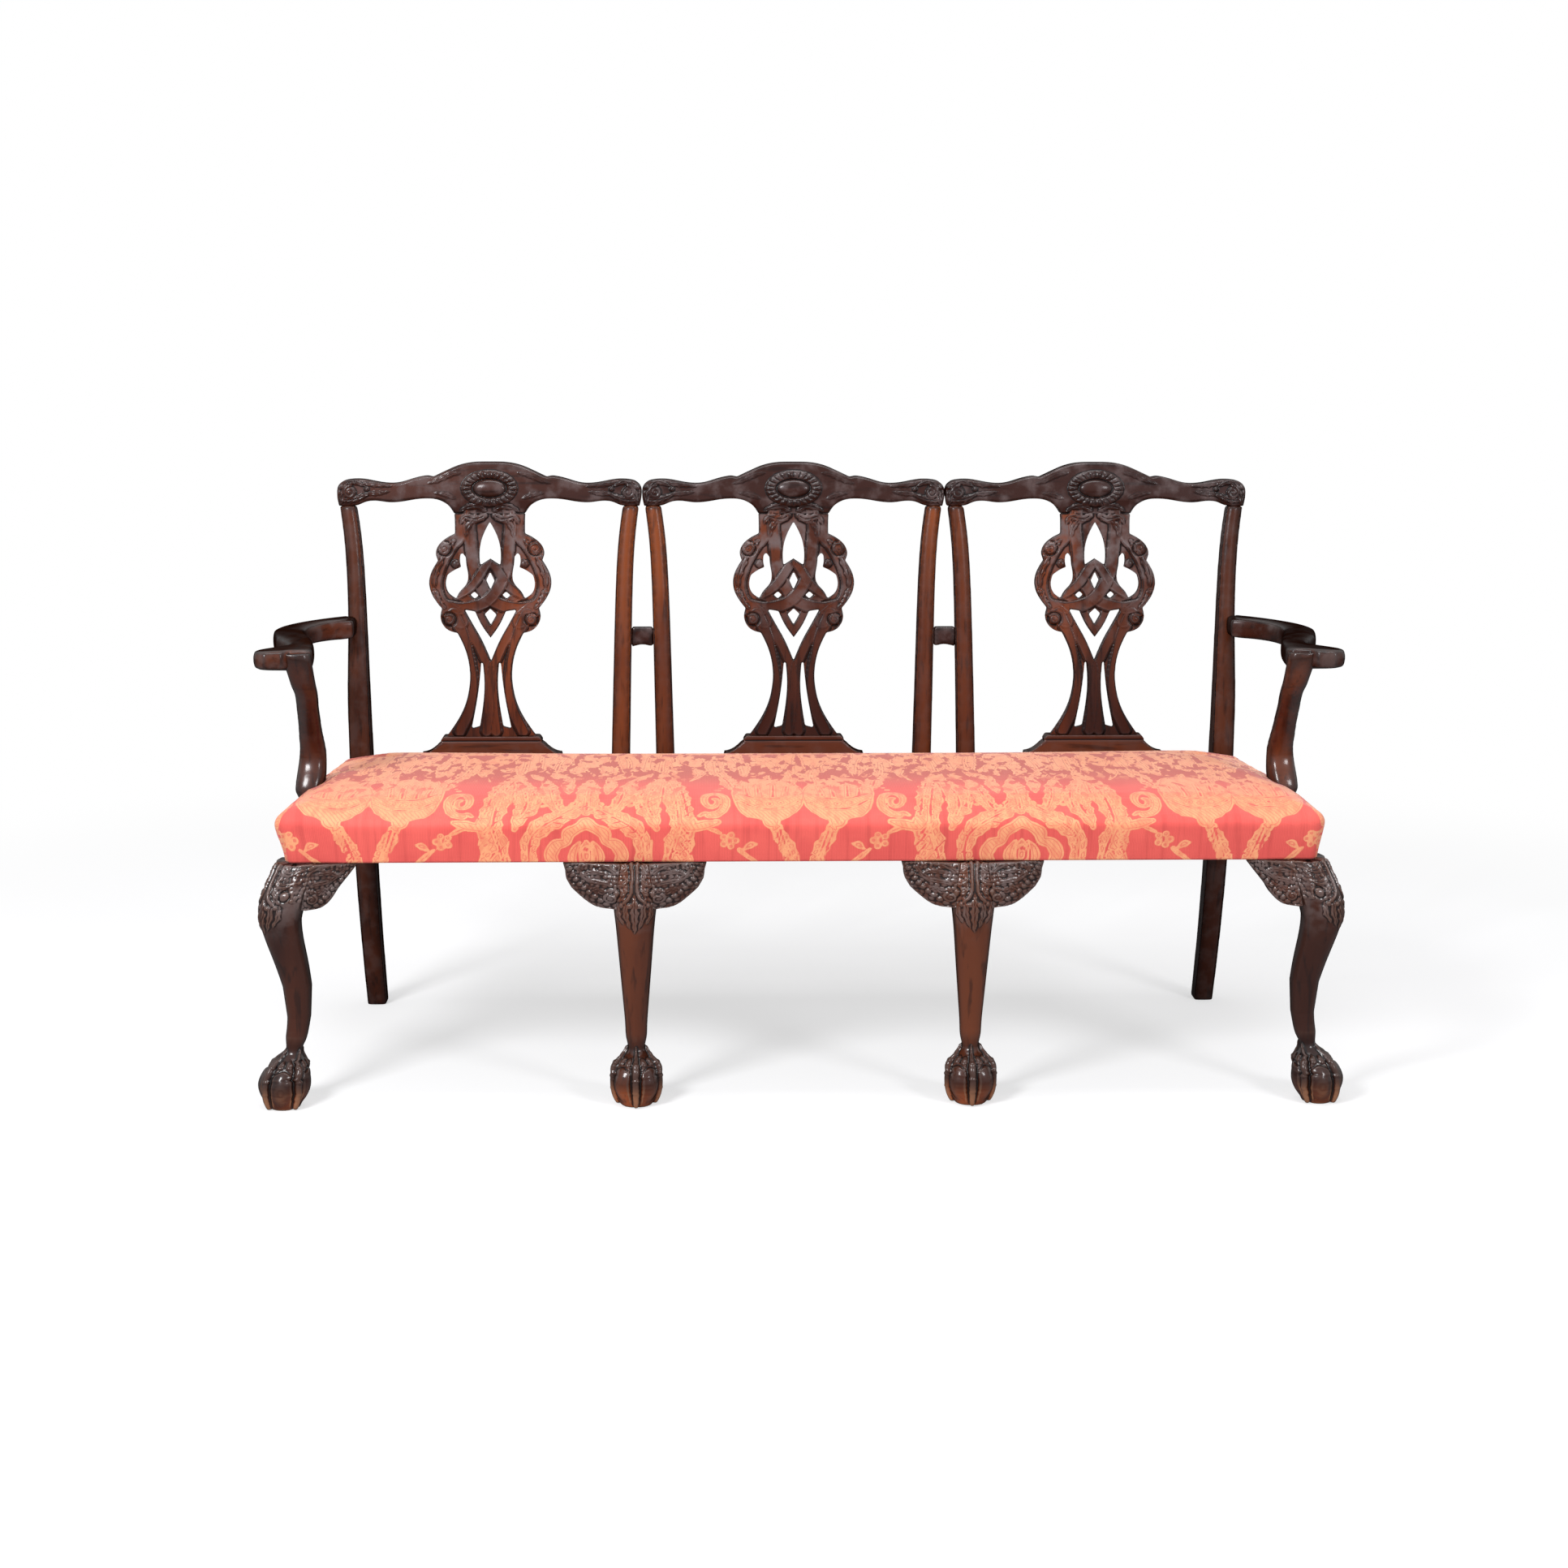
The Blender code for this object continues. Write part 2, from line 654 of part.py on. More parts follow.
# Shoes that hold the splats' feet, standing on the rear rail
def shoe_outline():
    top = SHOE_TOP_WIDTH / 2
    foot = SHOE_FOOT_WIDTH / 2
    low = RAIL_TOP + CLEARANCE
    return mirrored([
        (foot, low, SHARP),
        (foot, mix(low, SHOE_TOP, 0.30), SHARP),
        (mix(top, foot, 0.42), SHOE_TOP - SHOE_FILLET * 1.5),
        (top, SHOE_TOP - SHOE_FILLET, SHARP),
        (top, SHOE_TOP, SHARP),
    ])


for word, chair_x in zip(CHAIR_NAMES, CHAIR_CENTRES):
    shoe = outline_solid([shoe_outline()], SHOE_DEPTH, OUTLINE_STEPS)
    upright(shoe, SHOE_DEPTH / 2)
    bmesh.ops.translate(shoe, verts=shoe.verts, vec=(chair_x, 0.0, 0.0))
    lean_back(shoe)
    splat_shoe = piece(f"splat_shoe_{word}", shoe, mahogany)
    cut(splat_shoe, splat_slot(chair_x, SHOE_TOP - SPLAT_TONGUE, SHOE_TOP + CUT_REACH))


# Front legs: cabriole with claw-and-ball feet; squareness 0 is a round section, 1 nearly square
def leg_section(centre, half, squareness, z, facing, claw):
    ring = []
    for i in range(LEG_POINTS):
        angle = facing + 2 * math.pi * i / LEG_POINTS
        c, s = math.cos(angle), math.sin(angle)
        power = mix(2.0, 5.0, squareness)
        radius = half / (abs(c) ** power + abs(s) ** power) ** (1 / power)
        if i % (LEG_POINTS // 4) == 0:
            radius += claw
        ring.append(Vector((centre[0] + radius * c, centre[1] + radius * s, z)))
    return ring


def leg_rings(x, way, grow=0.0):
    facing = math.atan2(way[1], way[0])
    top = RAIL_BOTTOM - CLEARANCE
    keys = [
        (top, LEG_TOP_OUT, LEG_TOP_WIDTH / 2, 0.8),
        (KNEE_HEIGHT, KNEE_OUT, KNEE_WIDTH / 2, 0.7),
        (CALF_HEIGHT, CALF_OUT, CALF_WIDTH / 2, 0.6),
        (SHIN_HEIGHT, SHIN_OUT, SHIN_WIDTH / 2, 0.5),
        (ANKLE_HEIGHT, ANKLE_OUT, ANKLE_WIDTH / 2, 0.2),
    ]
    rows = [(*row, 0.0) for row in track(keys, LEG_ROWS)]
    bead = ANKLE_WIDTH / 2 + ANKLE_BEAD
    rows.append((FOOT_HEIGHT, mix(ANKLE_OUT, FOOT_OUT, 0.25), bead, 0.0, CLAW_RAISE / 2))
    for share in (0.78, 0.52, 0.24, -0.38, -0.74):
        reach = FOOT_HEIGHT - BALL_HEIGHT if share > 0 else BALL_HEIGHT
        roundness = 2.3 if share > 0 else 3
        half = BALL_WIDTH / 2 * (1 - abs(share) ** roundness) ** (1 / roundness)
        out = mix(FOOT_OUT, ANKLE_OUT, 0.50 * ease(share))
        rows.append((BALL_HEIGHT + share * reach, out, half - CLAW_RAISE, 0.0, CLAW_RAISE))
    rows.append((0.0, FOOT_OUT, SOLE_WIDTH / 2, 0.0, 0.0))
    rings = []
    for z, out, half, squareness, claw in rows:
        centre = (x + way[0] * out, POST_CENTRE + way[1] * out)
        rings.append(leg_section(centre, half + grow, squareness, z, facing, claw))
    return rings


LEG_PLACES = (
    ("outer_left", -OUTER_LEG_X, (-1, -1)),
    ("inner_left", -INNER_LEG_X, (0, -1)),
    ("inner_right", INNER_LEG_X, (0, -1)),
    ("outer_right", OUTER_LEG_X, (1, -1)),
)
front_legs = {}
for word, x, way in LEG_PLACES:
    leg = piece(f"front_leg_{word}", loft(leg_rings(x, way)), mahogany, 0.9)
    front_legs[word] = leg
    if way[0]:
        post_in = SEAT_FRONT_WIDTH / 2 - POST_WIDTH
        plan = [(post_in, 0.0)] + corner_arc(0.0)
        plan += [(side_face(POST_WIDTH), POST_WIDTH), (post_in, POST_WIDTH)]
        join(leg, prism([(way[0] * px, py) for px, py in plan], RAIL_BOTTOM - JOIN_OVERLAP, RAIL_TOP))


def leg_tenon(x):
    half = LEG_TENON_WIDTH / 2
    low = (x - half, TENON_SETBACK, RAIL_BOTTOM - JOIN_OVERLAP)
    high = (x + half, TENON_SETBACK + TENON_THICKNESS, RAIL_BOTTOM + LEG_TENON_HEIGHT)
    return low, high


for word, x in (("inner_left", -INNER_LEG_X), ("inner_right", INNER_LEG_X)):
    join(front_legs[word], boxes(leg_tenon(x)))


# Knee brackets: one pattern, laid along the rail away from its leg
def bracket_outline():
    near = KNEE_WIDTH / 2 - BRACKET_BITE
    top = RAIL_BOTTOM - CLEARANCE
    low = top - BRACKET_DROP
    return [
        (near, top, SHARP),
        (BRACKET_REACH, top, SHARP),
        (mix(near, BRACKET_REACH, 0.82), mix(top, low, 0.40)),
        (mix(near, BRACKET_REACH, 0.59), mix(top, low, 0.82)),
        (mix(near, BRACKET_REACH, 0.39), low),
        (near, mix(top, low, 0.90), SHARP),
    ]


def bracket_body():
    bm = outline_solid([bracket_outline()], BRACKET_THICKNESS, OUTLINE_STEPS)
    upright(bm, BRACKET_SETBACK + BRACKET_THICKNESS / 2)
    for vert in bm.verts:
        if vert.co.y < BRACKET_SETBACK + BRACKET_THICKNESS / 2:
            away = (vert.co.x - KNEE_WIDTH / 2) / (BRACKET_REACH - KNEE_WIDTH / 2)
            vert.co.y -= BRACKET_SWELL * (1 - min(1.0, max(0.0, away))) ** 2
    return bm


def knee_bracket(name, x, way, along):
    bm = bracket_body()
    for vert in bm.verts:
        u, v, z = vert.co
        if along == "side":
            y = POST_CENTRE - KNEE_OUT + u
            vert.co = Vector((way[0] * (side_face(y) - v), y, z))
        else:
            vert.co.x = x + way[0] * KNEE_OUT + along * u
    bracket = piece(name, bm, mahogany)
    cut(bracket, loft(leg_rings(x, way, CLEARANCE)))


for word, x, way in LEG_PLACES:
    if way[0]:
        knee_bracket(f"knee_bracket_{word}_front", x, way, -way[0])
        knee_bracket(f"knee_bracket_{word}_side", x, way, "side")
    else:
        knee_bracket(f"knee_bracket_{word}_a", x, way, -1)
        knee_bracket(f"knee_bracket_{word}_b", x, way, 1)


# Seat rails
tenon_z0 = RAIL_BOTTOM + TENON_SHOULDER
tenon_z1 = RAIL_TOP - TENON_SHOULDER
front_end = SEAT_FRONT_WIDTH / 2 - POST_WIDTH - CLEARANCE
front_bm = boxes(((-front_end, 0.0, RAIL_BOTTOM), (front_end, RAIL_THICKNESS, RAIL_TOP)))
front_rail = piece("front_rail", front_bm, beech)
tenon_y = (TENON_SETBACK, TENON_SETBACK + TENON_THICKNESS)
for word, side in SIDES:
    ends = sorted((side * (front_end - JOIN_OVERLAP), side * (front_end + TENON_LENGTH)))
    tenon = ((ends[0], tenon_y[0], tenon_z0), (ends[1], tenon_y[1], tenon_z1))
    join(front_rail, boxes(tenon))
    cut(front_legs[f"outer_{word}"], boxes(tenon, grow=CLEARANCE))
for x in (-INNER_LEG_X, INNER_LEG_X):
    cut(front_rail, boxes(leg_tenon(x), grow=CLEARANCE))


def stile_side_face(z, side):
    ring = stile_ring(z, side, side * CHAIR_PITCH, True)
    return min(abs(v.x) for v in ring)


rear_end = min(stile_side_face(RAIL_BOTTOM, 1), stile_side_face(RAIL_TOP, 1)) - CLEARANCE
rear_y0 = BACK_Y - REAR_RAIL_LEDGE
rear_y1 = BACK_Y + OUTER_STILE_DEPTH
rear_bm = boxes(((-rear_end, rear_y0, RAIL_BOTTOM), (rear_end, rear_y1, RAIL_TOP)))
rear_rail = piece("rear_rail", rear_bm, beech)
for word, side in SIDES:
    ends = sorted((side * (rear_end - JOIN_OVERLAP), side * (rear_end + TENON_LENGTH)))
    y1 = rear_y1 - TENON_SETBACK
    tenon = ((ends[0], y1 - TENON_THICKNESS, tenon_z0), (ends[1], y1, tenon_z1))
    join(rear_rail, boxes(tenon))
    cut(outer_stiles[side], boxes(tenon, grow=CLEARANCE))
for word, chair_x, side in INNER_PLACES:
    low = RAIL_TOP - STILE_TENON
    cut(rear_rail, stile_mortise(side, chair_x, False, low, RAIL_TOP + CLEARANCE))


def along_side(x0, x1, y0, y1, z0, z1, side, grow=0.0):
    bm = bmesh.new()
    for vert in add_box(bm, (x0, y0, z0), (x1, y1, z1), grow):
        vert.co.x = side * (side_face(vert.co.y) - vert.co.x)
    return bm


side_y0 = POST_WIDTH + CLEARANCE
side_y1 = BACK_Y - CLEARANCE
side_rails = {}
for word, side in SIDES:
    bm = along_side(0.0, RAIL_THICKNESS, side_y0, side_y1, RAIL_BOTTOM, RAIL_TOP, side)
    rail = piece(f"side_rail_{word}", bm, beech)
    side_rails[side] = rail
    tenons = (
        (side_y0 - TENON_LENGTH, side_y0 + JOIN_OVERLAP, front_legs[f"outer_{word}"]),
        (side_y1 - JOIN_OVERLAP, side_y1 + TENON_LENGTH, outer_stiles[side]),
    )
    for y0, y1, receiver in tenons:
        x0, x1 = TENON_SETBACK, TENON_SETBACK + TENON_THICKNESS
        join(rail, along_side(x0, x1, y0, y1, tenon_z0, tenon_z1, side))
        cut(receiver, along_side(x0, x1, y0, y1, tenon_z0, tenon_z1, side, CLEARANCE))


# Cross braces and corner blocks
brace_z1 = RAIL_TOP - BRACE_DROP
for word, side in SIDES:
    x = side * CHAIR_PITCH / 2
    half = BRACE_WIDTH / 2
    y0 = RAIL_THICKNESS + CLEARANCE
    y1 = rear_y0 - CLEARANCE
    brace_bm = boxes(((x - half, y0, brace_z1 - BRACE_HEIGHT), (x + half, y1, brace_z1)))
    brace = piece(f"cross_brace_{word}", brace_bm, beech)
    tenon_half = half - TENON_SHOULDER / 2
    for y_in, y_out, receiver in (
        (y0 - BRACE_TENON, y0 + JOIN_OVERLAP, front_rail),
        (y1 - JOIN_OVERLAP, y1 + BRACE_TENON, rear_rail),
    ):
        z0 = brace_z1 - BRACE_HEIGHT + TENON_SHOULDER
        tenon = ((x - tenon_half, y_in, z0), (x + tenon_half, y_out, brace_z1 - TENON_SHOULDER))
        join(brace, boxes(tenon))
        cut(receiver, boxes(tenon, grow=CLEARANCE))


def inner_face(y):
    return side_face(y) - RAIL_THICKNESS - CLEARANCE


block_z0 = RAIL_BOTTOM + (RAIL_HEIGHT - BLOCK_HEIGHT) / 2
for word, side in SIDES:
    post_in = SEAT_FRONT_WIDTH / 2 - POST_WIDTH - CLEARANCE
    front_in = RAIL_THICKNESS + CLEARANCE
    post_back = POST_WIDTH + CLEARANCE
    front_corners = (
        (post_in - BLOCK_REACH, front_in),
        (post_in, front_in),
        (post_in, post_back),
        (inner_face(post_back), post_back),
        (inner_face(post_back + BLOCK_REACH), post_back + BLOCK_REACH),
    )
    rear_in = rear_y0 - CLEARANCE
    rear_corners = (
        (inner_face(rear_in), rear_in),
        (inner_face(rear_in) - BLOCK_REACH, rear_in),
        (inner_face(rear_in - BLOCK_REACH), rear_in - BLOCK_REACH),
    )
    for place, corners in (("front", front_corners), ("rear", rear_corners)):
        shape = prism([(side * x, y) for x, y in corners], block_z0, block_z0 + BLOCK_HEIGHT)
        piece(f"corner_block_{place}_{word}", shape, beech)


# Arms: one plan outline with rounded edges, lapped round the front corner of the outer stile
arm_root_y = lean(ARM_TOP)


def arm_outline():
    inner_elbow = ELBOW_X - ARM_WIDTH
    return [
        (ARM_ROOT_X - ARM_LAP, arm_root_y - 0.92 * ARM_WIDTH, SHARP),
        (ARM_ROOT_X + 0.13 * ARM_ELBOW, arm_root_y - 1.27 * ARM_WIDTH),
        (inner_elbow - 0.10 * ARM_WIDTH, ELBOW_Y + 0.70 * ARM_WIDTH),
        (inner_elbow - 0.04 * ARM_WIDTH, ELBOW_Y - 0.77 * ARM_WIDTH),
        (ARM_ROOT_X + 0.17 * ARM_HAND, NOTCH_Y + 0.55 * ARM_GRIP),
        (ARM_ROOT_X - 0.01 * ARM_HAND, NOTCH_Y - 0.36 * ARM_GRIP),
        (ARM_ROOT_X + 0.02 * ARM_HAND, ARM_FRONT + 0.20 * ARM_GRIP),
        (ARM_ROOT_X + 0.41 * ARM_HAND, ARM_FRONT + 0.09 * ARM_GRIP),
        (HAND_X - 0.27 * ARM_HAND, ARM_FRONT),
        (HAND_X, ARM_FRONT + 0.22 * ARM_GRIP),
        (HAND_X - 0.15 * ARM_HAND, NOTCH_Y - 0.36 * ARM_GRIP),
        (ARM_ROOT_X + 0.58 * ARM_HAND, NOTCH_Y, SHARP),
        (ELBOW_X - 0.35 * ARM_WIDTH, mix(NOTCH_Y, ELBOW_Y, 0.45)),
        (ELBOW_X, ELBOW_Y),
        (ELBOW_X - 0.46 * ARM_WIDTH, arm_root_y - 1.31 * ARM_WIDTH),
        (ARM_ROOT_X + 0.32 * ARM_ELBOW, arm_root_y - 0.11 * ARM_WIDTH),
        (ARM_ROOT_X + 0.11 * ARM_ELBOW, arm_root_y + ARM_WRAP, SHARP),
        (ARM_ROOT_X - ARM_LAP, arm_root_y + ARM_WRAP, SHARP),
    ]


arms = {}
for word, side in SIDES:
    bm = outline_solid([arm_outline()], ARM_THICKNESS, ARM_STEPS, ARM_EDGE, 1)
    for vert in bm.verts:
        vert.co.x *= side
        vert.co.z += ARM_BOTTOM + ARM_THICKNESS / 2
    arms[side] = piece(f"arm_{word}", bm, mahogany, 0.9)
    cut(arms[side], grown_outer_stile(side))


# Arm supports: S-curved, housed in the side rail's outer face and tenoned into the arm
support_low = RAIL_BOTTOM + SUPPORT_LIFT
support_foot_x = side_face(SUPPORT_BACK) - SUPPORT_HOUSING + SUPPORT_FOOT_WIDTH / 2
support_top_x = ARM_ROOT_X + SUPPORT_TOP_WIDTH / 2
support_top = ARM_BOTTOM - CLEARANCE


def support_ring(share, grow=0.0):
    z = mix(support_low, support_top, share)
    rise = ease((share - 0.35) / 0.65)
    y = mix(SUPPORT_BACK, SUPPORT_FRONT, rise)
    swell = ease((share - 0.75) / 0.25)
    spread = ease((share - 0.18) / 0.30)
    width = mix(mix(SUPPORT_FOOT_WIDTH, SUPPORT_NECK_WIDTH, spread), SUPPORT_TOP_WIDTH, swell)
    depth = mix(mix(SUPPORT_FOOT_DEPTH, SUPPORT_NECK_DEPTH, spread), SUPPORT_TOP_WIDTH, swell)
    bend = max(0.0, share) ** 2.2
    x = mix(support_foot_x, support_top_x, share) - 4 * SUPPORT_BOW * bend * (1 - bend)
    half_x = width / 2 + grow
    half_y = depth / 2 + grow
    return chamfered_ring(x - half_x, x + half_x, y - half_y, y + half_y, z, SUPPORT_CHAMFER)


def support_body(side, shares, grow=0.0):
    rings = [support_ring(share, grow) for share in shares]
    return loft([[Vector((side * v.x, v.y, v.z)) for v in ring] for ring in rings])


whole_support = [i / SUPPORT_ROWS for i in range(SUPPORT_ROWS + 1)]
lower_support = [i / SUPPORT_ROWS for i in range(-1, SUPPORT_LOWER_ROWS + 1)]
supports = {}
for word, side in SIDES:
    supports[side] = piece(f"arm_support_{word}", support_body(side, whole_support), mahogany, 0.9)
    half = SUPPORT_TENON_WIDTH / 2
    x = side * support_top_x
    tenon_low = (x - half, SUPPORT_FRONT - half, support_top - JOIN_OVERLAP)
    tenon_high = (x + half, SUPPORT_FRONT + half, support_top + SUPPORT_TENON)
    join(supports[side], boxes((tenon_low, tenon_high)))
    cut(arms[side], boxes((tenon_low, tenon_high), grow=CLEARANCE))
    housing_low = -CLEARANCE / (support_top - support_low)
    cut(side_rails[side], support_body(side, [housing_low] + lower_support[1:], CLEARANCE))


# Screws: a shank with a flat head, and the holes they sit in
def screw_body(length, grow=0.0):
    radius = SCREW_SHANK / 2 + grow
    head = SCREW_HEAD / 2 + grow
    rings = []
    for z, r in (
        (-grow, head),
        (SCREW_HEAD_HEIGHT + grow, head),
        (SCREW_HEAD_HEIGHT + grow, radius),
        (length - SCREW_POINT, radius),
        (length + grow, SCREW_TIP / 2 + grow),
    ):
        turn = [2 * math.pi * i / SCREW_SIDES for i in range(SCREW_SIDES)]
        rings.append([Vector((r * math.cos(a), r * math.sin(a), z)) for a in turn])
    return loft(rings)


def placed_screw(length, head_at, way, grow=0.0):
    bm = screw_body(length, grow)
    turn = Vector((0.0, 0.0, 1.0)).rotation_difference(Vector(way)).to_matrix().to_4x4()
    bmesh.ops.transform(bm, verts=bm.verts, matrix=Matrix.Translation(head_at) @ turn)
    return bm


for word, side in SIDES:
    z = ARM_BOTTOM + ARM_THICKNESS / 2
    ring = stile_ring(z, side, side * CHAIR_PITCH, True)
    head = Vector((side * (ARM_ROOT_X - ARM_LAP / 2), max(v.y for v in ring), z))
    way = (0.0, -1.0, 0.0)
    piece(f"arm_screw_{word}", placed_screw(ARM_SCREW_LENGTH, head, way), steel)
    for receiver in (outer_stiles[side], arms[side]):
        cut(receiver, placed_screw(ARM_SCREW_LENGTH, head, way, CLEARANCE))
    for level, step in (("lower", -0.5), ("upper", 0.5)):
        z = (support_low + RAIL_TOP) / 2 + step * SUPPORT_SCREW_SPACING
        y = SUPPORT_BACK
        head = Vector((side * (side_face(y) - RAIL_THICKNESS - SCREW_HEAD_PROUD), y, z))
        way = (float(side), 0.0, 0.0)
        screw = placed_screw(SUPPORT_SCREW_LENGTH, head, way)
        piece(f"support_screw_{word}_{level}", screw, steel)
        for receiver in (side_rails[side], supports[side]):
            cut(receiver, placed_screw(SUPPORT_SCREW_LENGTH, head, way, CLEARANCE))


# Seat upholstery, in rings round the seat plan
web_z = RAIL_TOP + CLEARANCE
hessian_z = web_z + WEB_THICKNESS + CLEARANCE
pad_z = hessian_z + HESSIAN_THICKNESS + CLEARANCE


def seat_ring(inset, z, rear_proud):
    front = corner_arc(inset)
    rear = corner_arc(inset, max(inset, -rear_proud))

    def run(start, end, steps):
        return [(mix(start[0], end[0], i / steps), mix(start[1], end[1], i / steps)) for i in range(steps)]

    def flipped(arc):
        return [(-x, y) for x, y in reversed(arc)]

    left_rear = flipped(rear)
    left_front = flipped(front)
    points = run(left_front[-1], front[0], RING_FRONT) + front[:-1]
    points += run(front[-1], rear[0], RING_SIDE) + rear[:-1]
    points += run(rear[-1], left_rear[0], RING_FRONT) + left_rear[:-1]
    points += run(left_rear[-1], left_front[0], RING_SIDE) + left_front[:-1]
    return [Vector((x, y, z)) for x, y in points]


def seat_profile():
    edge = RAIL_TOP + SEAT_EDGE_RISE
    crown = RAIL_TOP + SEAT_CROWN
    flank = RAIL_TOP + FLANK_ABOVE
    return [
        (-SEAT_BULGE, RAIL_TOP - FLANK_BELOW),
        (-SEAT_BULGE, flank),
        (0.04 * SEAT_EDGE_ROUND, mix(flank, edge, 0.62)),
        (0.40 * SEAT_EDGE_ROUND, mix(flank, edge, 0.92)),
        (SEAT_EDGE_ROUND, mix(edge, crown, 0.28)),
        (mix(SEAT_EDGE_ROUND, SEAT_CROWN_REACH, 0.42), mix(edge, crown, 0.78)),
        (SEAT_CROWN_REACH, crown),
    ]


def cover_rings(offset):
    low = RAIL_BOTTOM + COVER_HEM
    rings = [(-offset, low), (-offset - 0.25 * SEAT_BULGE, mix(low, RAIL_TOP, 0.45))]
    rings += [(inset - offset, z) for inset, z in seat_profile()[:2]]
    slant = DIAGONAL * offset
    rings += [(inset - slant, z + slant) for inset, z in seat_profile()[2:4]]
    rings += [(inset, z + offset) for inset, z in seat_profile()[4:]]
    return rings


def cover_shell():
    skin = CLEARANCE + COVER_THICKNESS
    inner = [seat_ring(inset, z, CLEARANCE) for inset, z in cover_rings(CLEARANCE)]
    outer = [seat_ring(inset, z, skin) for inset, z in cover_rings(skin)]
    return loft(list(reversed(inner)) + outer)


def pad_body():
    under = RAIL_TOP + SEAT_EDGE_RISE
    rows = [(PAD_INSET, pad_z)]
    for inset, z in seat_profile()[1:]:
        drop = CLEARANCE if z > under else DIAGONAL * CLEARANCE
        rows.append((inset + drop, max(z - drop, pad_z + PAD_EDGE)))
    return loft([seat_ring(inset, z, 0.0) for inset, z in rows])


seat_cover = piece("seat_cover", cover_shell(), damask, 1.2)
seat_pad = piece("seat_pad", pad_body(), stuffing, 1.2)
rear_gap = boxes((
    (-SEAT_REAR_WIDTH / 2 - CLEARANCE / 2, rear_y0 - CUT_REACH, RAIL_BOTTOM - CUT_REACH),
    (SEAT_REAR_WIDTH / 2 + CLEARANCE / 2, rear_y1 + CUT_REACH, RAIL_TOP + CLEARANCE),
))
cut(seat_cover, rear_gap)
for word, side in SIDES:
    for soft in (seat_cover, seat_pad):
        cut(soft, support_body(side, lower_support, 3 * CLEARANCE))


def web_panel():
    half = SEAT_REAR_WIDTH / 2 - WEB_MARGIN
    y0 = WEB_MARGIN
    y1 = SEAT_DEPTH - WEB_MARGIN / 2

    def breaks(low, high, straps):
        step = (high - low) / straps
        values = [low]
        for i in range(straps):
            middle = low + step * (i + 0.5)
            values += [middle - WEB_WIDTH / 2, middle + WEB_WIDTH / 2]
        return values + [high]

    def place(share, y):
        return share * (side_face(y) - WEB_MARGIN), y, web_z

    shares = [x / half for x in breaks(-half, half, WEB_CROSSWISE)]
    ys = breaks(y0, y1, WEB_LENGTHWISE)
    bm = bmesh.new()
    grid = [[bm.verts.new(place(share, y)) for y in ys] for share in shares]
    for i in range(len(shares) - 1):
        for j in range(len(ys) - 1):
            if i % 2 or j % 2:
                bm.faces.new((grid[i][j], grid[i + 1][j], grid[i + 1][j + 1], grid[i][j + 1]))
    lone = [vert for vert in bm.verts if not vert.link_faces]
    bmesh.ops.delete(bm, geom=lone, context="VERTS")
    raised = bmesh.ops.extrude_face_region(bm, geom=list(bm.faces))["geom"]
    lifted = [part for part in raised if isinstance(part, bmesh.types.BMVert)]
    bmesh.ops.translate(bm, verts=lifted, vec=(0.0, 0.0, WEB_THICKNESS))
    return bm


piece("webbing", web_panel(), jute)
sheet_ends = (HESSIAN_MARGIN, SEAT_DEPTH - HESSIAN_MARGIN)
sheet_corners = [(side_face(y) - HESSIAN_MARGIN, y) for y in sheet_ends]
sheet_corners += [(-x, y) for x, y in reversed(sheet_corners)]
hessian = piece("hessian", prism(sheet_corners, hessian_z, hessian_z + HESSIAN_THICKNESS), jute)
for word, side in SIDES:
    cut(hessian, support_body(side, lower_support, 3 * CLEARANCE))

# Dust cloth under the frame, cut round the legs and brackets
cloth_z1 = RAIL_BOTTOM - CLEARANCE
cloth_z0 = cloth_z1 - DUST_CLOTH_THICKNESS
cloth_y0 = RAIL_THICKNESS - DUST_CLOTH_LAP
cloth_y1 = rear_y0 + DUST_CLOTH_LAP
cloth_corners = []
for x_sign, y in ((-1, cloth_y0), (1, cloth_y0), (1, cloth_y1), (-1, cloth_y1)):
    cloth_corners.append((x_sign * (side_face(y) - RAIL_THICKNESS + DUST_CLOTH_LAP), y))
dust_cloth = piece("dust_cloth", prism(cloth_corners, cloth_z0, cloth_z1), cambric)
notch_y1 = POST_CENTRE + KNEE_WIDTH / 2 + NOTCH_MARGIN
notch_z = (cloth_z0 - CUT_REACH, cloth_z1 + CUT_REACH)
notch_reach = BRACKET_REACH + NOTCH_MARGIN
notches = bmesh.new()
for x in (-INNER_LEG_X, INNER_LEG_X):
    add_box(notches, (x - notch_reach, -CUT_REACH, notch_z[0]), (x + notch_reach, notch_y1, notch_z[1]))
cut(dust_cloth, notches)
for side in (-1, 1):
    side_notch_y = POST_CENTRE + notch_reach
    spans = (
        (OUTER_LEG_X - notch_reach, notch_y1),
        (side_face(side_notch_y) - RAIL_THICKNESS - NOTCH_MARGIN, side_notch_y),
    )
    for x, y1 in spans:
        ends = sorted((side * x, side * SEAT_FRONT_WIDTH / 2))
        cut(dust_cloth, boxes(((ends[0], -CUT_REACH, notch_z[0]), (ends[1], y1, notch_z[1]))))

# The settee's box is centred on the origin, front to back
bpy.context.view_layer.update()
graph = bpy.context.evaluated_depsgraph_get()
depths = []
for item in parts.objects:
    if item.type == "MESH":
        corners = item.evaluated_get(graph).bound_box
        depths += [corner[1] for corner in corners]
root.location.y = -(min(depths) + max(depths)) / 2
print("settee depth", round(max(depths) - min(depths), 4), "shift", round(root.location.y, 4))
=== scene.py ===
import math

import bmesh
import bpy
import numpy as np
from mathutils import Matrix, Vector
from mathutils.kdtree import KDTree


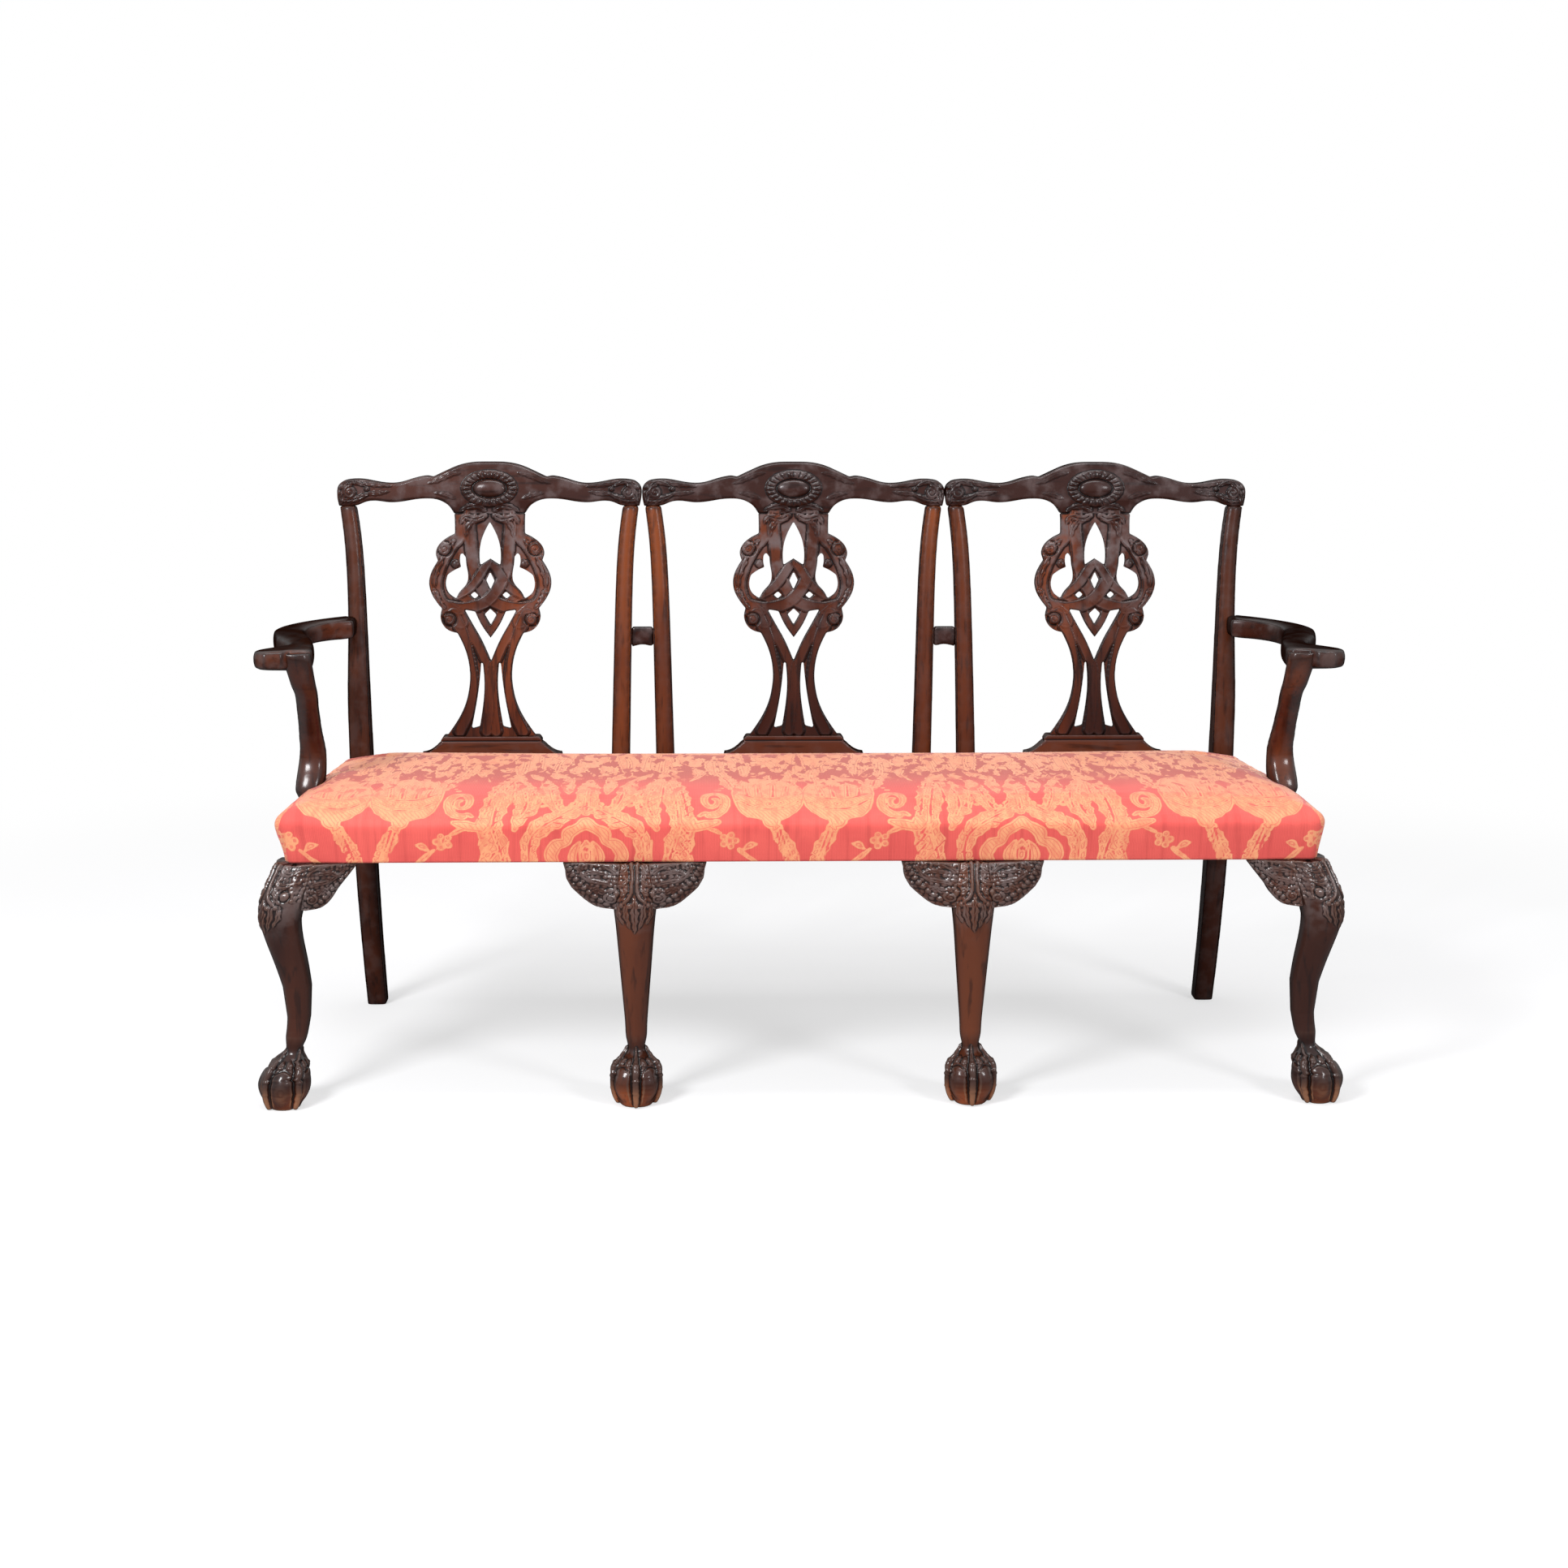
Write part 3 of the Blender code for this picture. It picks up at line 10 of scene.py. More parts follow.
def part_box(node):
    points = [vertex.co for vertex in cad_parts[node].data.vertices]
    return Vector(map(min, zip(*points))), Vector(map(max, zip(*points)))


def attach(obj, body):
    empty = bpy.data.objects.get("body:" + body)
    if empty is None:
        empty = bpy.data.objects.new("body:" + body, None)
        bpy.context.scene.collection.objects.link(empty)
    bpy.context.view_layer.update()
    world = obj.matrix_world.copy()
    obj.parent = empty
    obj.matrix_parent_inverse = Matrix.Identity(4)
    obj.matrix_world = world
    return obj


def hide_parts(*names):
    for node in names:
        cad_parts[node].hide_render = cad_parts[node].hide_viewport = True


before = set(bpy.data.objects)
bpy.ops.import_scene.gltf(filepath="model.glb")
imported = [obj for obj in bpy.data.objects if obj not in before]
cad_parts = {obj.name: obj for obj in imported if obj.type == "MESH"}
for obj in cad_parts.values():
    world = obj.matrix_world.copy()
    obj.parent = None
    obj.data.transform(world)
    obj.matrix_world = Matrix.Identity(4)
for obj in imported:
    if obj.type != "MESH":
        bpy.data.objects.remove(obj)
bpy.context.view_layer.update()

scene = bpy.context.scene
print("frame loaded:", len(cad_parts), "nodes")


def inScene(name, data):
    made = bpy.data.objects.new(name, data)
    scene.collection.objects.link(made)
    return made


# Camera, at the photograph's place and angle
cameraSet = {
    "place": (-0.1435, -4.3281, 1.2516),
    "yaw": -0.0309,
    "pitchDown": 0.1818,
    "roll": 0.0025,
    "lens": 60.91,
    "sensor": 36.0,
    "shiftX": -0.0054,
}


def makeCamera(s):
    yaw, pitch, roll = s["yaw"], s["pitchDown"], s["roll"]
    level = Vector((math.cos(yaw), math.sin(yaw), 0.0))
    ahead = Vector((-math.sin(yaw), math.cos(yaw), 0.0))
    plumb = Vector((0, 0, 1))
    look = ahead * math.cos(pitch) - plumb * math.sin(pitch)
    rise = ahead * math.sin(pitch) + plumb * math.cos(pitch)
    right = level * math.cos(roll) + rise * math.sin(roll)
    up = rise * math.cos(roll) - level * math.sin(roll)
    data = bpy.data.cameras.new("photoCamera")
    data.lens = s["lens"]
    data.sensor_width = s["sensor"]
    data.shift_x = s["shiftX"]
    cam = inScene("photoCamera", data)
    turn = Matrix((right, up, -look)).transposed().to_4x4()
    cam.matrix_world = Matrix.Translation(s["place"]) @ turn
    scene.camera = cam


makeCamera(cameraSet)


# Node helpers, for shaders and for Geometry Nodes
def feed(tree, socket, value):
    if isinstance(value, bpy.types.NodeSocket):
        tree.links.new(value, socket)
    else:
        socket.default_value = value


def addNode(tree, kind, props=None, inputs=None):
    made = tree.nodes.new(kind)
    for key, value in (props or {}).items():
        setattr(made, key, value)
    for key, value in (inputs or {}).items():
        feed(tree, made.inputs[key], value)
    return made


def maths(tree, operation, *values, clamp=False):
    props = {"operation": operation, "use_clamp": clamp}
    return addNode(tree, "ShaderNodeMath", props, dict(enumerate(values))).outputs[0]


mixSockets = {"share": 0, "first": 6, "second": 7, "result": 2}


def blendColour(tree, share, first, second, mode="MIX"):
    made = addNode(tree, "ShaderNodeMix", {"data_type": "RGBA", "blend_type": mode}, {
        mixSockets["share"]: share, mixSockets["first"]: first, mixSockets["second"]: second,
    })
    return made.outputs[mixSockets["result"]]


def rampOf(tree, value, low, high):
    return addNode(tree, "ShaderNodeMapRange", {"interpolation_type": "SMOOTHSTEP"}, {
        "Value": value, "From Min": low, "From Max": high,
    }).outputs["Result"]


def shareOf(tree, value, band, share):
    return maths(tree, "MULTIPLY", rampOf(tree, value, *band), share)


def noiseOf(tree, place, scale, detail, distortion=0.0):
    return addNode(tree, "ShaderNodeTexNoise", None, {
        "Vector": place, "Scale": scale, "Detail": detail, "Distortion": distortion,
    }).outputs["Fac"]


def waveOf(tree, value, pitch):
    return maths(tree, "SINE", maths(tree, "MULTIPLY", value, 2 * math.pi / pitch))


def vectorOf(tree, **parts):
    return addNode(tree, "ShaderNodeCombineXYZ", None, parts).outputs["Vector"]


def heightOf(tree, vector):
    return addNode(tree, "ShaderNodeSeparateXYZ", None, {"Vector": vector}).outputs["Z"]


def objectPlace(tree):
    return addNode(tree, "ShaderNodeTexCoord").outputs["Object"]


def attributeOf(tree, name):
    return addNode(tree, "ShaderNodeAttribute", {"attribute_name": name}).outputs["Fac"]


def bumpOf(tree, height, settings):
    return addNode(tree, "ShaderNodeBump", None, {**settings, "Height": height}).outputs["Normal"]


def newTree(name, kind, inputs, outputs):
    tree = bpy.data.node_groups.new(name, kind)
    for way, sockets in (("OUTPUT", outputs), ("INPUT", inputs)):
        for label, socketKind in sockets:
            tree.interface.new_socket(label, in_out=way, socket_type="NodeSocket" + socketKind)
    return tree, tree.nodes.new("NodeGroupInput").outputs, tree.nodes.new("NodeGroupOutput").inputs


def placeGroup(tree, group, inputs):
    return addNode(tree, "ShaderNodeGroup", {"node_tree": group}, inputs).outputs


def newMaterial(name):
    made = bpy.data.materials.new(name)
    made.use_nodes = True
    return made, made.node_tree, made.node_tree.nodes["Principled BSDF"]


def setShader(tree, shader, values):
    for label, value in values.items():
        feed(tree, shader.inputs[label], value)


# Wood tones: figure, pores, a dark tone in the hollows that is partly the wax that stays there and partly
# painted shade, and a tone on proud parts: wear on beech, painted shade on the mahogany arrises, wear with a
# partly painted highlight on the carved legs
figureSet = {
    "figure": {"scale": 9.0, "detail": 5.0, "distortion": 0.8},
    "figureBand": (0.36, 0.66),
    "patch": {"scale": 2.2, "detail": 2.0},
    "patchBand": (0.62, 0.36),
    "pores": {"scale": 95.0, "detail": 3.0},
    "poreBand": (0.46, 0.30),
    "poreShade": 0.55,
    "hollowBand": (0.02, 0.85),
    "hollowShade": 0.94,
    "wearAndPaintedLightBand": (-0.12, -0.80),
    "wearAndPaintedLightShare": 0.80,
    "rough": 0.24,
    "poreRough": 0.22,
    "hollowRough": 0.22,
}


def makeWoodTones(s):
    tree, given, out = newTree("woodTones", "ShaderNodeTree", [
        ("Vector", "Vector"), ("Recess", "Float"),
        ("Dark", "Color"), ("Middle", "Color"), ("Light", "Color"), ("WearAndPaintedLight", "Color"),
    ], [("Colour", "Color"), ("Roughness", "Float"), ("Height", "Float")])
    figure = noiseOf(tree, given["Vector"], **s["figure"])
    pores = noiseOf(tree, given["Vector"], **s["pores"])
    patch = noiseOf(tree, given["Vector"], **s["patch"])
    tone = blendColour(tree, rampOf(tree, figure, *s["figureBand"]), given["Middle"], given["Light"])
    tone = blendColour(tree, rampOf(tree, patch, *s["patchBand"]), tone, given["Middle"])
    tone = blendColour(tree, shareOf(tree, pores, s["poreBand"], s["poreShade"]), tone, given["Dark"])
    # Hollows darken towards the dark colour: partly the wax that stays there, partly painted shade
    hollow = shareOf(tree, given["Recess"], s["hollowBand"], s["hollowShade"])
    # Proud parts take this tone: real wear on beech, painted shade on the mahogany arrises, wear with a
    # partly painted highlight on the carved legs and knees
    wearAndPaintedLightMask = shareOf(tree, given["Recess"], s["wearAndPaintedLightBand"], s["wearAndPaintedLightShare"])
    tone = blendColour(tree, wearAndPaintedLightMask, tone, given["WearAndPaintedLight"])
    tone = blendColour(tree, hollow, tone, given["Dark"])
    rough = maths(tree, "MULTIPLY_ADD", pores, s["poreRough"], s["rough"])
    rough = maths(tree, "MULTIPLY_ADD", hollow, s["hollowRough"], rough, clamp=True)
    for label, value in (("Colour", tone), ("Roughness", rough), ("Height", pores)):
        tree.links.new(value, out[label])
    return tree


woodTones = makeWoodTones(figureSet)

# Wood finish: zones of tone by height (painted light and shade on the feet, painted shade low on the rear
# legs), cloudy patches of painted sheen, painted shade towards the edges, and a polish that fades towards the
# edges
polishSet = {
    "cloud": {"scale": 38.0, "detail": 4.0},
    "clearBand": (0.55, 0.05),
    "facing": 0.5,
    "edgeBand": (0.30, 0.88),
    "upBand": (0.05, 0.70),
    "bump": {"Strength": 0.2, "Distance": 0.0005},
    "ior": 1.33,
    "coatIor": 1.30,
}


def woodMaterial(name, s, polish):
    made, tree, shader = newMaterial(name)
    place = objectPlace(tree)
    along = addNode(tree, "ShaderNodeMapping", None, {"Vector": place, "Scale": s["stretch"]})
    recess = attributeOf(tree, "recess")
    tones = placeGroup(tree, woodTones, {
        "Vector": along.outputs["Vector"], "Recess": recess,
        "Dark": s["dark"], "Middle": s["middle"], "Light": s["light"], "WearAndPaintedLight": s["wearAndPaintedLight"],
    })
    tone = tones["Colour"]
    height = heightOf(tree, place)
    for low, high, colour in s.get("zones", []):
        tone = blendColour(tree, rampOf(tree, height, high, low), tone, colour, "MULTIPLY")
    # Painted sheen: cloudy patches of a greyish tone stand in for reflections on the polish, and stay out of
    # the hollows
    blotch = shareOf(tree, noiseOf(tree, place, **polish["cloud"]), s["paintedSheenBand"], s["paintedSheen"])
    if "paintedSheenFrom" in s:
        blotch = maths(tree, "MULTIPLY", blotch, rampOf(tree, height, *s["paintedSheenFrom"]))
    blotch = maths(tree, "MULTIPLY", blotch, rampOf(tree, recess, *polish["clearBand"]))
    tone = blendColour(tree, blotch, tone, s["paintedSheenTone"])
    # Painted shade: the tone darkens towards the dark colour where the surface turns away from the view, and
    # the polish fades there too
    facing = addNode(tree, "ShaderNodeLayerWeight", None, {"Blend": polish["facing"]}).outputs["Facing"]
    edge = rampOf(tree, facing, *polish["edgeBand"])
    tone = blendColour(tree, maths(tree, "MULTIPLY", edge, s["edgeShade"]), tone, s["dark"])
    flat = maths(tree, "SUBTRACT", 1.0, edge)
    rise = heightOf(tree, addNode(tree, "ShaderNodeNewGeometry").outputs["Normal"])
    coat = maths(tree, "MULTIPLY_ADD", rampOf(tree, rise, *polish["upBand"]), s["upCoat"], s["coat"])
    setShader(tree, shader, {
        "Base Color": tone,
        "Roughness": tones["Roughness"],
        "Normal": bumpOf(tree, tones["Height"], polish["bump"]),
        "Specular IOR Level": maths(tree, "MULTIPLY", flat, s["gloss"]),
        "Specular Tint": s["shine"],
        "IOR": polish["ior"],
        "Coat Weight": maths(tree, "MULTIPLY", flat, coat),
        "Coat Roughness": s["coatRough"],
        "Coat IOR": polish["coatIor"],
    })
    return made


grainWay = {"upright": (1.0, 1.0, 0.09), "across": (0.09, 1.0, 1.0), "lengthways": (1.0, 0.09, 1.0)}
mahoganySet = {
    "stretch": grainWay["upright"],
    "dark": (0.0034, 0.0016, 0.0013, 1),
    "middle": (0.034, 0.0086, 0.0042, 1),
    "light": (0.135, 0.0340, 0.0115, 1),
    # Painted shade: a dark colour laid along the proud arrises
    "wearAndPaintedLight": (0.0100, 0.0042, 0.0032, 1),
    # Painted sheen: the greyish tone laid in cloudy patches over the wood
    "paintedSheenTone": (0.098, 0.070, 0.066, 1),
    "paintedSheen": 0.40,
    "paintedSheenBand": (0.42, 0.66),
    "shine": (0.80, 0.88, 1.0, 1),
    "gloss": 0.22,
    "coat": 0.24,
    "upCoat": 0.65,
    "coatRough": 0.22,
    "edgeShade": 0.85,
}
carvedSet = {
    "dark": (0.0080, 0.0040, 0.0032, 1), "paintedSheen": 0.75, "paintedSheenTone": (0.120, 0.088, 0.084, 1),
    "coat": 0.60, "coatRough": 0.14,
}
toneSets = {
    "upright": {
        "middle": (0.040, 0.0096, 0.0042, 1), "light": (0.150, 0.0360, 0.0115, 1),
        "paintedSheen": 0.95, "paintedSheenBand": (0.36, 0.68), "paintedSheenFrom": (0.62, 0.84),
        "paintedSheenTone": (0.112, 0.082, 0.080, 1),
        "zones": [(0.51, 0.64, (0.66, 0.56, 0.52, 1))],
    },
    "across": {
        "stretch": grainWay["across"], "middle": (0.026, 0.0066, 0.0036, 1),
        "paintedSheen": 0.56, "paintedSheenBand": (0.43, 0.72), "paintedSheenTone": (0.112, 0.083, 0.082, 1),
        "coat": 0.42, "coatRough": 0.17,
    },
    "shoe": {
        "stretch": grainWay["across"], "paintedSheen": 0.15, "wearAndPaintedLight": (0.055, 0.0160, 0.0090, 1),
        "middle": (0.080, 0.0210, 0.0095, 1), "light": (0.190, 0.0500, 0.0170, 1),
    },
    "stile": {"middle": (0.080, 0.0185, 0.0060, 1), "light": (0.225, 0.0560, 0.0140, 1), "paintedSheen": 0.10},
    "post": {
        "middle": (0.036, 0.0095, 0.0046, 1), "light": (0.115, 0.0300, 0.0104, 1), "paintedSheen": 0.22,
        # Painted shade: the rear legs darken below the seat
        "zones": [(0.30, 0.45, (0.62, 0.52, 0.48, 1))],
    },
    "support": {
        "middle": (0.040, 0.0098, 0.0046, 1), "light": (0.130, 0.0320, 0.0110, 1),
        "paintedSheen": 0.12, "coat": 0.8, "coatRough": 0.17,
    },
    "arm": {
        "stretch": grainWay["lengthways"], "light": (0.085, 0.0225, 0.0095, 1), "paintedSheen": 0.50, "upCoat": 0.9,
    },
    "leg": {
        **carvedSet, "paintedSheenFrom": (0.25, 0.36),
        "middle": (0.046, 0.0120, 0.0062, 1), "light": (0.125, 0.0325, 0.0125, 1),
        # A lighter tone on the proud carving and talons: wear, and partly a painted highlight
        "wearAndPaintedLight": (0.100, 0.0520, 0.0380, 1),
        # Painted light and shade on the feet: the foot darkens below the ankle, and the lowest part of the
        # ball is made much lighter
        "zones": [(0.085, 0.118, (0.58, 0.58, 0.62, 1)), (0.008, 0.044, (5.4, 4.8, 3.2, 1))],
    },
    "knee": {
        **carvedSet, "stretch": grainWay["across"],
        "middle": (0.040, 0.0130, 0.0080, 1), "light": (0.105, 0.0320, 0.0160, 1),
        "wearAndPaintedLight": (0.095, 0.0560, 0.0460, 1),
    },
}
# Painted shade: the outer corner legs take a darker copy of the leg tones
toneSets["corner"] = {
    **toneSets["leg"], "middle": (0.026, 0.0072, 0.0042, 1), "light": (0.066, 0.0175, 0.0080, 1),
}
mahogany = {}
for word, changes in toneSets.items():
    mahogany[word] = woodMaterial("mahogany_" + word, {**mahoganySet, **changes}, polishSet)
beechSet = {
    **mahoganySet,
    "dark": (0.14, 0.075, 0.035, 1),
    "middle": (0.33, 0.180, 0.082, 1),
    "light": (0.43, 0.255, 0.125, 1),
    "wearAndPaintedLight": (0.48, 0.310, 0.165, 1),
    "shine": (1, 1, 1, 1),
    "gloss": 0.25,
    "coat": 0.0,
    "upCoat": 0.0,
    "coatRough": 0.3,
    "edgeShade": 0.0,
    "paintedSheen": 0.0,
}
beech = {}
for word in ("across", "lengthways"):
    beech[word] = woodMaterial("beech_" + word, {**beechSet, "stretch": grainWay[word]}, polishSet)
print("wood finishes made")

# Mesh helpers
meshSet = {"weld": 0.00002, "joinAngle": 0.25, "joinShape": 0.9, "easing": 0.5, "recessLimit": 2.0}


def nodeCopy(name, s=meshSet):
    bm = bmesh.new()
    bm.from_mesh(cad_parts[name].data)
    bmesh.ops.remove_doubles(bm, verts=bm.verts, dist=s["weld"])
    bmesh.ops.join_triangles(
        bm, faces=bm.faces, angle_face_threshold=s["joinAngle"], angle_shape_threshold=s["joinShape"])
    return bm


def meshFrom(bm, name):
    mesh = bpy.data.meshes.new(name)
    bm.to_mesh(mesh)
    bm.free()
    return mesh


def slicedAt(bm, place, way, **options):
    every = bm.verts[:] + bm.edges[:] + bm.faces[:]
    bmesh.ops.bisect_plane(bm, geom=every, plane_co=place, plane_no=way, **options)


def facedOutward(mesh, weld=0.0):
    bm = bmesh.new()
    bm.from_mesh(mesh)
    if weld:
        bmesh.ops.remove_doubles(bm, verts=bm.verts, dist=weld)
    bmesh.ops.recalc_face_normals(bm, faces=bm.faces)
    bm.to_mesh(mesh)
    bm.free()
    return mesh


def addModifier(holder, name, kind, **settings):
    made = holder.modifiers.new(name, kind)
    for key, value in settings.items():
        setattr(made, key, value)
    return made


def evaluated(obj):
    bpy.context.view_layer.update()
    graph = bpy.context.evaluated_depsgraph_get()
    mesh = bpy.data.meshes.new_from_object(obj.evaluated_get(graph))
    bpy.data.objects.remove(obj)
    return mesh


def refined(name, s):
    bm = nodeCopy(name)
    if "cap" in s:
        slicedAt(bm, (0, 0, s["cap"]), (0, 0, 1), clear_outer=True)
        bmesh.ops.holes_fill(bm, edges=[e for e in bm.edges if e.is_boundary])
        bmesh.ops.recalc_face_normals(bm, faces=bm.faces)
    crease = bm.edges.layers.float.new("crease_edge")
    for edge in bm.edges:
        if len(edge.link_faces) == 2 and edge.calc_face_angle() > s["sharp"]:
            edge[crease] = 1.0
    holder = inScene(name + "Rough", meshFrom(bm, name + "Rough"))
    addModifier(holder, "rounding", "SUBSURF", levels=s["levels"], render_levels=s["levels"])
    addModifier(holder, "skin", "REMESH", mode="VOXEL", voxel_size=s["voxel"])
    addModifier(holder, "easing", "SMOOTH", factor=meshSet["easing"], iterations=s["smooth"])
    return evaluated(holder)


def vectorsIn(rows, key):
    flat = np.empty(len(rows) * 3, np.float32)
    rows.foreach_get(key, flat)
    return flat.reshape(-1, 3).astype(float)


def coords(mesh):
    return vectorsIn(mesh.vertices, "co")


def normals(mesh):
    return vectorsIn(mesh.vertex_normals, "vector")


def setCoords(mesh, places):
    mesh.vertices.foreach_set("co", places.astype(np.float32).ravel())
    mesh.update()


def valuesIn(mesh, name):
    column = np.empty(len(mesh.vertices), np.float32)
    mesh.attributes[name].data.foreach_get("value", column)
    return column.astype(float)


def setValues(mesh, name, values):
    layer = mesh.attributes.new(name, "FLOAT", "POINT")
    layer.data.foreach_set("value", values.astype(np.float32))


def markRecess(mesh, rounds=9, depth=0.00045):
    here = coords(mesh)
    count = len(here)
    pairs = np.empty(len(mesh.edges) * 2, np.int32)
    mesh.edges.foreach_get("vertices", pairs)
    a, b = pairs.reshape(-1, 2).T
    links = np.maximum(np.bincount(a, minlength=count) + np.bincount(b, minlength=count), 1)
    soft = here.copy()
    for _ in range(rounds):
        for axis in range(3):
            column = soft[:, axis]
            total = np.bincount(a, column[b], count) + np.bincount(b, column[a], count)
            soft[:, axis] = 0.5 * column + 0.5 * total / links
    recess = ((soft - here) * normals(mesh)).sum(1) / depth
    setValues(mesh, "recess", np.clip(recess, -meshSet["recessLimit"], meshSet["recessLimit"]))


def moved(mesh, shift):
    made = mesh.copy()
    made.transform(Matrix.Translation(shift))
    return made


def flipped(mesh):
    made = mesh.copy()
    made.transform(Matrix.Diagonal((-1, 1, 1, 1)))
    made.flip_normals()
    return made


# Pieces: each rides on the one body, and hides the solids that it stands for
def addPiece(name, mesh, material, slotName, *nodes):
    mesh.materials.clear()
    mesh.materials.append(material)
    mesh.shade_smooth()
    piece = inScene(name, mesh)
    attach(piece, "root")
    if nodes:
        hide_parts(*nodes)
    return piece


def addBoth(prefix, node, mesh, material):
    other = node.replace("left", "right")
    addPiece(prefix + node, mesh, material, "mahogany", node)
    addPiece(prefix + other, flipped(mesh), material, "mahogany", other)


chairX = {}
for word in ("left", "middle", "right"):
    low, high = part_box("splat_" + word)
    chairX[word] = (low.x + high.x) / 2


def addThree(prefix, node, mesh, material):
    for word, x in chairX.items():
        addPiece(prefix + word, moved(mesh, (x, 0, 0)), material, "mahogany", node + word)


# Carving strokes: lines drawn in millimetres, raised or sunk on a face
mm = 1000


def smoothLine(knots, steps=6):
    k = np.array(knots, float)
    k = np.vstack([2 * k[0] - k[1], k, 2 * k[-1] - k[-2]])
    made = []
    for i in range(1, len(k) - 2):
        p0, p1, p2, p3 = k[i - 1:i + 3]
        for t in np.arange(steps) / steps:
            bend = (2 * p0 - 5 * p1 + 4 * p2 - p3) * t * t + (3 * p1 - p0 - 3 * p2 + p3) * t ** 3
            made.append(0.5 * (2 * p1 + (p2 - p0) * t + bend))
    made.append(k[-2])
    return np.array(made)


def spiralLine(centre, radius, turns, start, way=1, core=0.18, steps=14):
    made = []
    count = int(steps * turns) + 1
    for i in range(count):
        share = i / (count - 1)
        angle = math.radians(start) + way * 2 * math.pi * turns * share
        r = radius * (1 - (1 - core) * share)
        made.append((centre[0] + r * math.cos(angle), centre[1] + r * math.sin(angle)))
    return np.array(made)


def nearLine(points, line, reach):
    low = line[:, :2].min(0) - reach
    high = line[:, :2].max(0) + reach
    found = np.nonzero(np.all((points > low) & (points < high), axis=1))[0]
    p = points[found]
    steps = np.diff(line[:, :2], axis=0)
    spans = np.maximum(np.hypot(steps[:, 0], steps[:, 1]), 1e-9)
    starts = np.concatenate([[0.0], np.cumsum(spans)[:-1]])
    gap = np.full(len(p), np.inf)
    along = np.zeros(len(p))
    for a, step, span, start in zip(line[:, :2], steps, spans, starts):
        rel = p - a
        t = np.clip(rel @ step / span ** 2, 0, 1)
        away = rel - t[:, None] * step
        dist = np.hypot(away[:, 0], away[:, 1])
        closer = dist < gap
        gap[closer] = dist[closer]
        along[closer] = (start + t[closer] * span) / spans.sum()
    return found, gap, along


def ease(t):
    t = np.clip(t, 0.0, 1.0)
    return t * t * (3 - 2 * t)


strokeSet = {
    "grooveFade": 8.0, "grooveEnd": 0.2,
    "leafEnds": (0.03, 0.985), "leafBelly": 0.7, "leafNotch": 0.30,
    "veinDepth": 0.5, "veinWidth": 0.13, "rayHeight": 0.22, "raySlant": 0.45, "rayFrom": 0.3,
    "coilTurns": 1.6, "coilRadius": 0.8, "coilWidth": 0.26, "eyeRadius": 0.30, "eyeHeight": 1.15,
    "grainShift": 0.3, "grainRadius": (0.42, 0.66), "grainHeight": (0.5, 1.2),
    "swellPower": 1.5,
    "strapMiddle": 0.25, "strapHollow": 3, "strapLip": 0.16,
}


